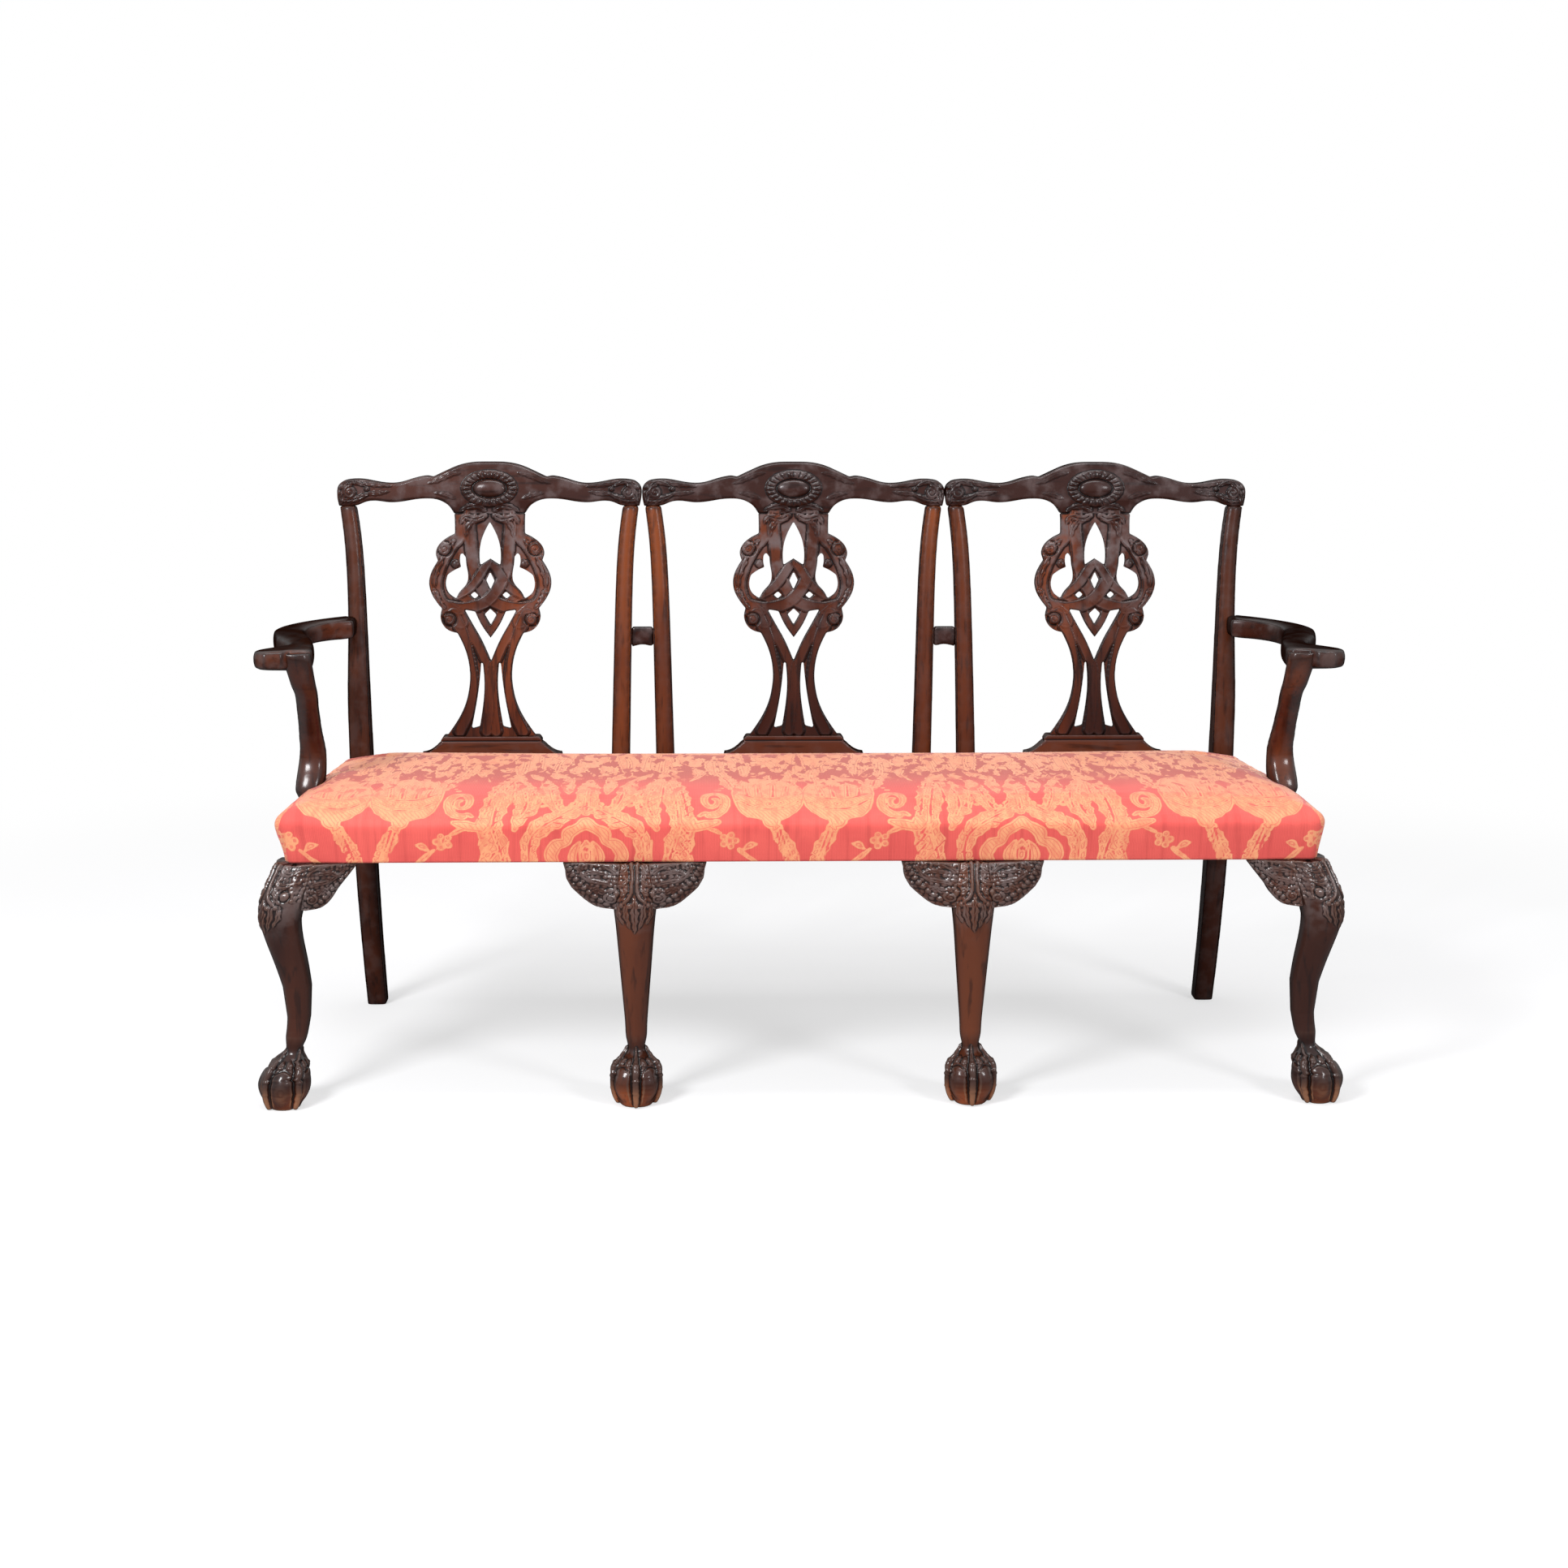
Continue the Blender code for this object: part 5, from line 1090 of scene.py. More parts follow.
def carveBracket(mesh, axis, origin, outline, s):
    places, faces = coords(mesh), normals(mesh)
    outward = 1 - axis
    inFront = faces[:, outward] < -s["turn"]
    reach = np.abs(places[:, axis] - origin) * mm
    level = places[:, 2] * mm
    work = Relief(np.stack([reach[inFront], level[inFront]], 1))
    work.draw([s["ground"]])
    work.draw([("leaf", knots, *s["fanLeaf"]) for knots in s["fan"]])
    work.draw([s["scroll"]])
    work.draw([("bead", spot, *s["borderBead"]) for spot in s["border"]])
    deep = places[:, outward].max() - s["back"] - places[:, outward]
    past = reach - s["swellStart"]
    near = np.clip(1 - past / s["swellReach"], 0, 1) ** s["swellPower"]
    lift = np.interp(level, *zip(*s["swell"])) * near * ease(deep / s["swellDeep"])
    weight = ease((-faces[inFront, outward] - s["turn"]) / s["fade"])
    places[inFront, outward] -= work.height * weight / mm
    places[:, outward] -= lift / mm
    fuller = np.interp(level, *zip(*outline)) - 1
    pull = s["pull"] * (1 - ease(past / s["pullEase"])) - fuller * np.clip(past, 0, None)
    places[:, axis] -= np.sign(places[:, axis] - origin) * pull / mm
    setCoords(mesh, places)


innerX = sum(c.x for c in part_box("front_leg_inner_left")) / 2
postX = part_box("knee_bracket_outer_left_front")[1].x - bracketSet["span"]
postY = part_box("knee_bracket_outer_left_side")[1].y - bracketSet["span"]
bracketPlaces = [
    ("inner", "a", 0, innerX),
    ("inner", "b", 0, innerX),
    ("outer", "front", 0, postX),
    ("outer", "side", 1, postY),
]
for word, place, axis, origin in bracketPlaces:
    node = "knee_bracket_" + word + "_left_" + place
    bracketMesh = refined(node, bracketSet)
    carveBracket(bracketMesh, axis, origin, bracketSet["outline"][word], bracketSet)
    markRecess(bracketMesh)
    addBoth("carved_", node, bracketMesh, mahogany["knee"])
print("brackets carved")

# Seat: a closed padded body, drawn tight over the rails
seatSet = {
    "frontY": -0.2943, "depth": 0.532, "frontHalf": 0.804, "rearHalf": 0.77385,
    "cornerRadius": 0.016, "rearRadius": 0.0015, "rearProud": 0.0018, "zoneTurn": (0.7, 0.8),
    "hem": 0.388, "hemInset": -0.0003, "railTop": 0.4476, "under": 0.4504,
    "profile": [(-0.0021, 0.388), (-0.0058, 0.4120), (-0.0096, 0.434), (-0.0112, 0.449), (-0.0080, 0.4585),
                (0.0000, 0.4660), (0.0129, 0.4715), (0.0360, 0.4762)],
    "inset": 0.036, "crown": 0.0072, "crownReach": 0.134,
    "across": 560, "deep": 168, "corner": 10, "profileSteps": 7,
}


def seatHalf(s, y):
    return s["frontHalf"] + (s["rearHalf"] - s["frontHalf"]) * y / s["depth"]


def seatRing(s, inset):
    rearInset = max(inset, -s["rearProud"])
    rear = s["depth"] - rearInset
    r0 = max(s["cornerRadius"] - inset, 0.0)
    r1 = max(s["rearRadius"] - rearInset, 0.0)
    y0, y1 = inset + r0, rear - r1
    x0 = seatHalf(s, y0) - inset - r0
    x1 = seatHalf(s, y1) - inset - r1
    t = np.arange(s["across"]) / s["across"] * 2 - 1
    d = np.arange(s["deep"]) / s["deep"]
    arc = np.arange(s["corner"]) / s["corner"] * np.pi / 2
    yUp, yDown = y0 + (y1 - y0) * d, y1 + (y0 - y1) * d
    early, late = arc < s["zoneTurn"][1], arc > s["zoneTurn"][0]
    runs = [
        (x0 * t, inset + 0 * t, 0 * t),
        (x0 + r0 * np.sin(arc), y0 - r0 * np.cos(arc), late * 1.0),
        (seatHalf(s, yUp) - inset, yUp, 0 * d + 1),
        (x1 + r1 * np.cos(arc), y1 + r1 * np.sin(arc), late + 1.0),
        (-x1 * t, rear + 0 * t, 0 * t + 2),
        (-x1 - r1 * np.sin(arc), y1 + r1 * np.cos(arc), 2.0 - late),
        (inset - seatHalf(s, yDown), yDown, 0 * d + 1),
        (-x0 - r0 * np.cos(arc), y0 - r0 * np.sin(arc), early * 1.0),
    ]
    return [np.concatenate(column) for column in zip(*runs)]


def crownAt(s, x, y):
    dx = (seatHalf(s, y) - s["inset"] - np.abs(x)) / s["crownReach"]
    dy = np.minimum(y - s["inset"], s["depth"] - s["inset"] - y) / s["crownReach"]
    hump = (1 - (1 - np.clip(dx, 0, 1)) ** 2) * (1 - (1 - np.clip(dy, 0, 1)) ** 2)
    return s["profile"][-1][1] + s["crown"] * hump


def seatSkirt(s):
    skirt = smoothLine(s["profile"], s["profileSteps"])
    rows = [(s["hemInset"], s["under"]), (s["hemInset"], s["hem"])] + [tuple(p) for p in skirt]
    drop = np.hypot(*np.diff(skirt, axis=0).T)
    drop = np.concatenate([np.cumsum(drop[::-1])[::-1], [0.0]])
    return rows, np.concatenate([[drop[0], drop[0]], drop])


# Each point also keeps its place on the cloth, as if the cover were laid flat
def seatMesh(s):
    rows, drop = seatSkirt(s)
    places, fabric = [], []
    climb = drop[0]
    for (inset, z), fall in zip(rows, drop):
        x, y, zone = seatRing(s, inset)
        height = np.where(zone == 2, max(z, s["railTop"]), z)
        side = seatHalf(s, np.clip(y, s["inset"], None)) - s["inset"] + fall
        u = np.where(zone == 1, np.sign(x) * side, x)
        v = np.where(zone == 0, climb - fall, climb + y - s["inset"] + np.where(zone == 2, fall, 0))
        places.append(np.stack([x, y, height], 1))
        fabric.append(np.stack([u, v], 1))
    count = len(x)
    quads = []
    step = np.arange(count)
    following = (step + 1) % count
    for r in range(len(rows) - 1):
        a, b = r * count, (r + 1) * count
        quads.append(np.stack([a + step, a + following, b + following, b + step], 1))
    base = len(rows) * count
    n, m = s["across"], s["deep"]
    gy = s["inset"] + (s["depth"] - 2 * s["inset"]) * np.arange(m + 1) / m
    gx = np.arange(n + 1) / n * 2 - 1
    y = np.repeat(gy, n + 1)
    x = np.tile(gx, m + 1) * (seatHalf(s, y) - s["inset"])
    places.append(np.stack([x, y, crownAt(s, x, y)], 1))
    fabric.append(np.stack([x, climb + y - s["inset"]], 1))
    corner = (np.arange(m)[:, None] * (n + 1) + np.arange(n)[None, :]).ravel() + base
    quads.append(np.stack([corner, corner + 1, corner + n + 2, corner + n + 1], 1))
    places, fabric = np.concatenate(places), np.concatenate(fabric)
    places[:, 1] += s["frontY"]
    faces = [tuple(q) for q in np.concatenate(quads)] + [tuple(step[::-1])]
    mesh = bpy.data.meshes.new("seatBody")
    mesh.from_pydata(places.tolist(), [], faces)
    for label, column in (("fabricU", 0), ("fabricV", 1)):
        setValues(mesh, label, fabric[:, column])
    return facedOutward(mesh, meshSet["weld"])


# Sides: stuffing bulges over the rails, more on the left front corner than on the right
fullness = {
    "from": 0.395, "ease": 0.05, "out": 0.0065, "sideIn": 0.12, "sideEase": 0.10,
    "up": 0.0060, "shoulder": 0.022, "shoulderHalf": 0.042,
    "left": [(-0.31, 0.8), (-0.20, 1.0), (0.0, 1.0), (0.10, 0.7), (0.19, 0.15), (0.23, 0.0)],
    "right": [(-0.31, 0.0), (-0.24, 0.5), (-0.16, 1.0), (0.0, 1.0), (0.10, 0.7), (0.19, 0.15), (0.23, 0.0)],
}


def fillSides(mesh, s, seat):
    places = coords(mesh)
    x, y, z = places.T
    half = seatHalf(seat, y - seat["frontY"])
    along = np.where(x < 0, np.interp(y, *zip(*s["left"])), np.interp(y, *zip(*s["right"])))
    above = ease((z - s["from"]) / s["ease"]) * along
    places[:, 0] += np.sign(x) * s["out"] * above * ease((np.abs(x) - half + s["sideIn"]) / s["sideEase"])
    places[:, 2] += s["up"] * above * np.exp(-((half - np.abs(x) - s["shoulder"]) / s["shoulderHalf"]) ** 2)
    setCoords(mesh, places)


# Stuffing: a short cloth run swells the cover, and each move is kept up to the cap
stuffingSet = {
    "voxel": 0.011, "pressure": 4.0, "frames": 20, "cap": 0.006, "heldBelow": 0.455, "sink": 0.0050,
    "fadeFrom": 0.396, "fadeOver": 0.076, "neighbours": 6, "nearest": 0.002,
}


def pressedOut(cage, s):
    start = coords(cage.data)
    held = cage.vertex_groups.new(name="held")
    held.add(np.nonzero(start[:, 2] < s["heldBelow"])[0].tolist(), 1.0, "REPLACE")
    cloth = addModifier(cage, "stuffing", "CLOTH")
    cloth.settings.use_pressure = True
    cloth.settings.uniform_pressure_force = s["pressure"]
    cloth.settings.vertex_group_mass = "held"
    cloth.settings.effector_weights.gravity = 0.0
    cloth.point_cache.frame_start = 1
    cloth.point_cache.frame_end = s["frames"]
    for step in range(1, s["frames"] + 1):
        scene.frame_set(step)
    shift = coords(evaluated(cage)) - start
    scene.frame_set(1)
    length = np.linalg.norm(shift, axis=1)
    print("stuffing presses up to", round(float(length.max()) * mm, 2), "mm,", s["cap"] * mm, "mm of it kept")
    return start, shift * np.minimum(1, s["cap"] / np.maximum(length, 1e-9))[:, None]


def swollen(mesh, s):
    places = coords(mesh)
    places[:, 2] -= s["sink"] * ease((places[:, 2] - s["fadeFrom"]) / s["fadeOver"])
    setCoords(mesh, places)
    holder = inScene("seatRough", mesh.copy())
    addModifier(holder, "skin", "REMESH", mode="VOXEL", voxel_size=s["voxel"])
    start, shift = pressedOut(inScene("seatCage", evaluated(holder)), s)
    tree = KDTree(len(start))
    for i, spot in enumerate(start):
        tree.insert(spot, i)
    tree.balance()
    fade = ease((places[:, 2] - s["fadeFrom"]) / s["fadeOver"])
    for k in np.nonzero(fade > 0)[0]:
        near = tree.find_n(places[k], s["neighbours"])
        weight = np.array([1 / (gap + s["nearest"]) for spot, i, gap in near])
        places[k] += fade[k] * (weight @ shift[[i for spot, i, gap in near]]) / weight.sum()
    setCoords(mesh, places)


# Cut-outs in the cover, where the arm supports pass it
cutSet = {"nodes": ("arm_support_left", "arm_support_right"), "grow": 0.0008}


def cutRound(mesh, node, grow):
    bm = nodeCopy(node)
    bmesh.ops.recalc_face_normals(bm, faces=bm.faces)
    bm.normal_update()
    for vert in bm.verts:
        vert.co += vert.normal * grow
    cutter = inScene(node + "Cutter", meshFrom(bm, node + "Cutter"))
    holder = inScene(mesh.name + "Cut", mesh)
    addModifier(holder, "cut", "BOOLEAN", operation="DIFFERENCE", solver="EXACT", object=cutter)
    made = evaluated(holder)
    bpy.data.objects.remove(cutter)
    return made


# Damask: gold scrollwork drawn in millimetres, as a distance to the edge of the gold
damaskSet = {
    "repeat": 676.0, "steps": 8, "outside": -30.0,
    "bladeReach": 60.0, "notchCut": 0.18, "notchReach": 20.0, "notchSlant": 20.0,
    "barbSlant": 18.0, "barbCut": 0.93, "barbDepth": 7.0, "ribKeep": 9.0, "ribHalf": 4.0,
    "rearGrow": 8.0, "rearFrom": 290.0, "rearOver": 150.0,
    "curlReach": 40.0, "curlTaper": 0.45, "veinReach": 30.0, "veinTaper": 0.5,
    "blades": [
        ([(0, -4, 11), (0, 12, 13), (0, 26, 10), (0, 36, 3)], 0),
        ([(19, -4, 5), (22, 8, 7), (18, 22, 6), (10, 34, 3)], 0),
        ([(50, -4, 9), (55, 12, 11), (46, 29, 11), (31, 35, 8), (27, 50, 11), (13, 60, 9), (0, 69, 12)], 0),
        ([(87, -4, 14), (89, 20, 15), (83, 45, 17), (68, 63, 19), (48, 78, 21), (28, 95, 21), (12, 116, 17),
          (0, 138, 10)], 6),
        ([(0, 92, 8), (0, 125, 19), (0, 168, 21), (0, 214, 18), (0, 262, 5)], 5),
        ([(34, 92, 8), (48, 116, 15), (58, 150, 17), (62, 190, 17), (66, 226, 13), (72, 268, 3)], 5),
        ([(30, 160, 3), (32, 196, 11), (34, 236, 12), (28, 284, 3)], 3),
        ([(142, -6, 26), (143, 30, 26), (150, 60, 23), (146, 95, 23), (138, 140, 25), (130, 190, 27),
          (123, 240, 23), (117, 290, 15), (113, 330, 4)], 10),
        ([(110, 58, 6), (101, 85, 17), (93, 115, 23), (96, 160, 25), (106, 210, 21), (112, 262, 8)], 6),
        ([(163, 60, 8), (185, 65, 9), (204, 70, 5)], 0),
        ([(176, 84, 4), (184, 92, 5), (192, 88, 2)], 0),
        ([(236, 20, 3), (250, 8, 4), (264, -2, 3)], 0),
        ([(208, 50, 3), (196, 56, 4), (186, 60, 3)], 0),
        ([(244, 20, 2), (254, 28, 6), (266, 30, 1)], 0),
        ([(286, 72, 14), (286, 80, 30), (285, 90, 42), (284, 106, 50), (284, 126, 55), (283, 160, 58),
          (280, 205, 52), (276, 238, 38)], 0),
        ([(292, 66, 8), (300, 45, 13), (312, 22, 14), (322, -6, 13)], 4),
        ([(226, 190, 8), (226, 215, 18), (218, 260, 17), (206, 310, 15), (199, 360, 13), (201, 420, 11),
          (206, 458, 3)], 9),
        ([(275, 215, 18), (279, 260, 11), (286, 300, 3)], 3),
        ([(312, 215, 17), (322, 280, 14), (318, 345, 4)], 5),
        ([(338, 250, 6), (338, 300, 12), (338, 350, 9), (338, 400, 3)], 3),
        ([(302, 330, 4), (302, 388, 15), (287, 440, 14), (270, 492, 6)], 6),
        ([(248, 292, 5), (242, 350, 15), (238, 400, 14), (230, 450, 12), (233, 505, 5)], 8),
        ([(176, 292, 3), (177, 328, 9), (170, 352, 3)], 0),
        ([(168, 388, 5), (162, 430, 16), (152, 470, 12), (150, 505, 5)], 5),
        ([(120, 320, 4), (111, 370, 15), (113, 430, 13), (118, 474, 4)], 6),
        ([(34, 256, 4), (50, 290, 16), (60, 322, 7)], 3),
        ([(14, 296, 4), (25, 340, 12), (18, 385, 8)], 3),
        ([(0, 390, 10), (6, 440, 15), (0, 500, 12)], 4),
        ([(54, 332, 4), (60, 380, 13), (57, 440, 14), (48, 496, 8)], 6),
        ([(86, 340, 3), (87, 400, 12), (90, 470, 13), (96, 520, 8)], 6),
        ([(74, 254, 3), (84, 280, 10), (96, 310, 4)], 0),
        ([(160, 250, 2), (172, 285, 5), (176, 320, 3)], 0),
        ([(320, 410, 5), (316, 450, 10), (322, 500, 8)], 3),
        ([(40, 520, 14), (120, 535, 12), (200, 525, 14), (290, 535, 16), (338, 530, 12)], 9),
        ([(0, 560, 16), (90, 565, 14), (180, 560, 15), (270, 570, 15), (338, 565, 15)], 9),
    ],
    "discs": [
        (221, 36, 5), (231, 36, 6), (224, 46, 6), (213, 43, 6), (213, 30, 6), (224, 26, 6),
        (30, 104, 4), (68, 116, 4), (204, 180, 5), (210, 194, 4), (166, 366, 5), (262, 290, 5),
    ],
    "curls": [
        ((196, 128), 24, 1.45, -100, 1, 9.0, 1.8),
        ((140, 350), 13, 1.2, 90, 1, 5.0, 1.5),
        ((268, 410), 12, 1.2, 40, -1, 4.5, 1.5),
    ],
    "veins": [
        ([(128, 2), (134, 24), (140, 44), (146, 66)], 1.3),
        ([(150, 4), (141, 16)], 1.2),
        ([(160, 14), (148, 30)], 1.4),
        ([(162, 30), (150, 46)], 1.4),
        ([(158, 48), (149, 60)], 1.3),
        ([(143, 66), (140, 110), (134, 160), (128, 210), (120, 262)], 1.5),
        ([(123, 52), (119, 90), (117, 130), (118, 180), (120, 235)], 1.5),
        ([(158, 84), (152, 130), (146, 180), (138, 230)], 1.1),
        ([(103, 84), (95, 118), (98, 165), (107, 215)], 1.4),
        ([(84, 108), (82, 140), (88, 180)], 1.0),
        ([(88, 0), (89, 20), (83, 45), (68, 62), (48, 76), (28, 92), (10, 112)], 1.3),
        ([(40, 96), (26, 112), (16, 130)], 1.2),
        ([(0, -2), (6, 4), (7, 14), (4, 22), (0, 26)], 1.3),
        ([(0, 104), (0, 180)], 1.4),
        ([(42, 106), (52, 140), (58, 186)], 1.2),
        ([(300, 56), (308, 30), (318, 4)], 1.5),
        ([(294, 52), (302, 26), (308, 4)], 1.0),
        ([(238, 128), (262, 108), (285, 103), (308, 108), (330, 126)], 1.4),
        ([(236, 158), (262, 138), (285, 134), (308, 138), (332, 158)], 1.6),
        ([(250, 150), (247, 205)], 1.5),
        ([(268, 144), (266, 215)], 1.6),
        ([(290, 142), (292, 215)], 1.6),
        ([(308, 148), (313, 205)], 1.5),
        ([(226, 205), (217, 262), (205, 318), (200, 420)], 1.4),
        ([(303, 345), (302, 390), (288, 436)], 1.3),
        ([(243, 320), (239, 400), (231, 460)], 1.3),
        ([(112, 340), (112, 400), (114, 450)], 1.3),
        ([(60, 350), (58, 420), (52, 470)], 1.3),
        ([(88, 360), (89, 430), (92, 490)], 1.3),
        ([(44, 280), (52, 296), (58, 312)], 1.1),
        ([(318, 225), (321, 280), (318, 325)], 1.2),
    ],
    "dots": [
        (0, 20, 2.6), (221, 36, 2.4), (338, 300, 2.6), (285, 118, 2.4), (268, 122, 1.8), (302, 122, 1.8),
    ],
}


def damaskEdge(u, v, s):
    half = s["repeat"] / 2
    across = half - np.abs((u * mm + half) % s["repeat"] - half)
    along = v * mm
    points = np.stack([across, along], 1)
    edge = np.full(len(points), s["outside"])
    for knots, lobes in s["blades"]:
        line = smoothLine(knots, s["steps"])
        found, gap, share = nearLine(points, line, s["bladeReach"])
        spans = np.concatenate([[0.0], np.cumsum(np.hypot(*np.diff(line[:, :2], axis=0).T))])
        body = np.interp(share, spans / spans[-1], line[:, 2])
        if lobes:
            lean = np.minimum(gap, s["notchReach"]) / s["notchSlant"]
            body = body * (1 - s["notchCut"] * np.abs(np.cos(np.pi * lobes * share + lean)))
            barbs = np.cos(2 * np.pi * (2 * lobes * share - gap / s["barbSlant"]))
            rib = s["ribKeep"] * ease((s["ribHalf"] - gap) / s["ribHalf"])
            body = np.minimum(body - gap, (s["barbCut"] - barbs) * s["barbDepth"] + rib)
        else:
            body = body - gap
        edge[found] = np.maximum(edge[found], body)
    edge += s["rearGrow"] * ease((along - s["rearFrom"]) / s["rearOver"])
    for x, y, radius in s["discs"]:
        edge = np.maximum(edge, radius - np.hypot(across - x, along - y))
    for centre, radius, turns, start, way, wide, tall in s["curls"]:
        line = spiralLine(centre, radius, turns, start, way)
        line[:, 1] = centre[1] + (line[:, 1] - centre[1]) * tall
        found, gap, share = nearLine(points, line, s["curlReach"])
        edge[found] = np.maximum(edge[found], wide * (1 - s["curlTaper"] * share) - gap)
    for knots, wide in s["veins"]:
        found, gap, share = nearLine(points, smoothLine(knots, s["steps"]), s["veinReach"])
        edge[found] = np.minimum(edge[found], gap - wide * (1 - s["veinTaper"] * share))
    for x, y, radius in s["dots"]:
        edge = np.minimum(edge, np.hypot(across - x, along - y) - radius)
    return edge / mm


# Cover cloth: red ribbed ground, gold figure with a fine outline and hatching, painted shade along the foot
# of the skirt, darker towards the back
clothSet = {
    "red": (0.82, 0.130, 0.108, 1), "redDeep": (0.74, 0.106, 0.092, 1), "redDark": (0.46, 0.054, 0.050, 1),
    "redRear": (0.43, 0.088, 0.064, 1),
    "gold": (0.83, 0.370, 0.190, 1), "goldDeep": (0.79, 0.285, 0.145, 1),
    "goldShade": (0.74, 0.215, 0.120, 1),
    "mottle": {"scale": 14.0, "detail": 3.0}, "mottleBand": (0.35, 0.65),
    "thread": {"scale": 900.0, "detail": 2.0}, "threadBand": (0.35, 0.7),
    "sprig": {"scale": 62.0, "detail": 2.0}, "sprigLength": 0.38,
    "fray": 0.006, "edgeBand": (-0.0007, 0.0007),
    "spotBand": (0.56, 0.60), "spotFrom": (0.08, 0.26), "wispBand": (0.44, 0.40), "wispFrom": (0.22, 0.36),
    "streak": {"scale": 85.0, "detail": 3.0}, "streakLength": 0.05,
    "streakBand": (0.48, 0.70), "streakFrom": (0.16, 0.05), "streakShade": 0.42,
    "bottomShadeBand": (0.045, 0.0), "bottomShadeShare": 0.26, "rearBand": (0.12, 0.34), "rearShade": 0.85,
    "blotch": {"scale": 95.0, "detail": 3.0}, "bloomBand": (0.46, 0.62), "bloomShade": 0.6,
    "outlineAt": 0.0036, "outlineBand": (0.0011, 0.0004), "outlineShade": 0.62,
    "hatchPitch": 0.0068, "hatchSlant": 0.7, "hatchWander": 0.02,
    "hatchBand": (0.1, 0.9), "hatchFrom": (0.0045, 0.0065), "hatchShade": 0.42,
    "ribPitch": 0.0026, "ribShade": 0.12, "pickPitch": 0.0017,
    "pickHeight": 0.4, "ribHeight": 0.5, "goldHeight": 0.9, "bump": {"Strength": 0.35, "Distance": 0.0004},
    "rough": 0.72, "goldRough": -0.16, "gloss": 0.2, "sheen": 0.22, "sheenRough": 0.4,
}


def goldMask(tree, gold, v, sprig, s):
    spots = maths(tree, "MULTIPLY", rampOf(tree, sprig, *s["spotBand"]), rampOf(tree, v, *s["spotFrom"]))
    wisps = maths(tree, "MULTIPLY", rampOf(tree, sprig, *s["wispBand"]), rampOf(tree, v, *s["wispFrom"]))
    frayed = maths(tree, "MULTIPLY_ADD", maths(tree, "SUBTRACT", sprig, 0.5), s["fray"], gold)
    mask = maths(tree, "MULTIPLY", rampOf(tree, frayed, *s["edgeBand"]), maths(tree, "SUBTRACT", 1.0, spots))
    return maths(tree, "MAXIMUM", mask, wisps)


def redGround(tree, u, v, mottle, rib, s):
    red = blendColour(tree, rampOf(tree, mottle, *s["mottleBand"]), s["red"], s["redDeep"])
    red = blendColour(tree, maths(tree, "MULTIPLY_ADD", rib, s["ribShade"], s["ribShade"]), red, s["redDark"])
    warp = vectorOf(tree, X=u, Y=maths(tree, "MULTIPLY", v, s["streakLength"]))
    streak = rampOf(tree, noiseOf(tree, warp, **s["streak"]), *s["streakBand"])
    streak = maths(tree, "MULTIPLY", streak, rampOf(tree, v, *s["streakFrom"]))
    red = blendColour(tree, maths(tree, "MULTIPLY", streak, s["streakShade"]), red, s["redDark"])
    # Painted shade: the red darkens along the lowest few centimetres of the skirt
    red = blendColour(tree, shareOf(tree, v, s["bottomShadeBand"], s["bottomShadeShare"]), red, s["redDark"])
    return blendColour(tree, shareOf(tree, v, s["rearBand"], s["rearShade"]), red, s["redRear"])


def goldFigure(tree, gold, u, v, place, cloth, mottle, red, s):
    thread = noiseOf(tree, place, **s["thread"])
    yellow = blendColour(tree, rampOf(tree, thread, *s["threadBand"]), s["gold"], s["goldDeep"])
    blotch = shareOf(tree, noiseOf(tree, cloth, **s["blotch"]), s["bloomBand"], s["bloomShade"])
    yellow = blendColour(tree, blotch, yellow, s["goldShade"])
    outline = maths(tree, "ABSOLUTE", maths(tree, "SUBTRACT", gold, s["outlineAt"]))
    outline = shareOf(tree, outline, s["outlineBand"], s["outlineShade"])
    wander = maths(tree, "MULTIPLY", mottle, s["hatchWander"])
    slant = maths(tree, "ADD", maths(tree, "MULTIPLY_ADD", v, s["hatchSlant"], wander), u)
    hatch = rampOf(tree, waveOf(tree, slant, s["hatchPitch"]), *s["hatchBand"])
    hatch = maths(tree, "MULTIPLY", hatch, rampOf(tree, gold, *s["hatchFrom"]))
    lines = maths(tree, "MAXIMUM", outline, maths(tree, "MULTIPLY", hatch, s["hatchShade"]))
    return blendColour(tree, lines, yellow, red)


def damaskMaterial(s):
    made, tree, shader = newMaterial("damask_cover")
    gold, u, v = [attributeOf(tree, name) for name in ("gold", "fabricU", "fabricV")]
    place = objectPlace(tree)
    mottle = noiseOf(tree, place, **s["mottle"])
    rib, pick = waveOf(tree, u, s["ribPitch"]), waveOf(tree, v, s["pickPitch"])
    cloth = vectorOf(tree, X=u, Y=maths(tree, "MULTIPLY", v, s["sprigLength"]))
    mask = goldMask(tree, gold, v, noiseOf(tree, cloth, **s["sprig"]), s)
    red = redGround(tree, u, v, mottle, rib, s)
    yellow = goldFigure(tree, gold, u, v, place, cloth, mottle, red, s)
    weave = maths(tree, "MULTIPLY_ADD", pick, s["pickHeight"], maths(tree, "MULTIPLY", rib, s["ribHeight"]))
    weave = maths(tree, "MULTIPLY_ADD", mask, s["goldHeight"], weave)
    setShader(tree, shader, {
        "Base Color": blendColour(tree, mask, red, yellow),
        "Normal": bumpOf(tree, weave, s["bump"]),
        "Roughness": maths(tree, "MULTIPLY_ADD", mask, s["goldRough"], s["rough"]),
        "Specular IOR Level": s["gloss"],
        "Sheen Weight": s["sheen"],
        "Sheen Roughness": s["sheenRough"],
    })
    return made


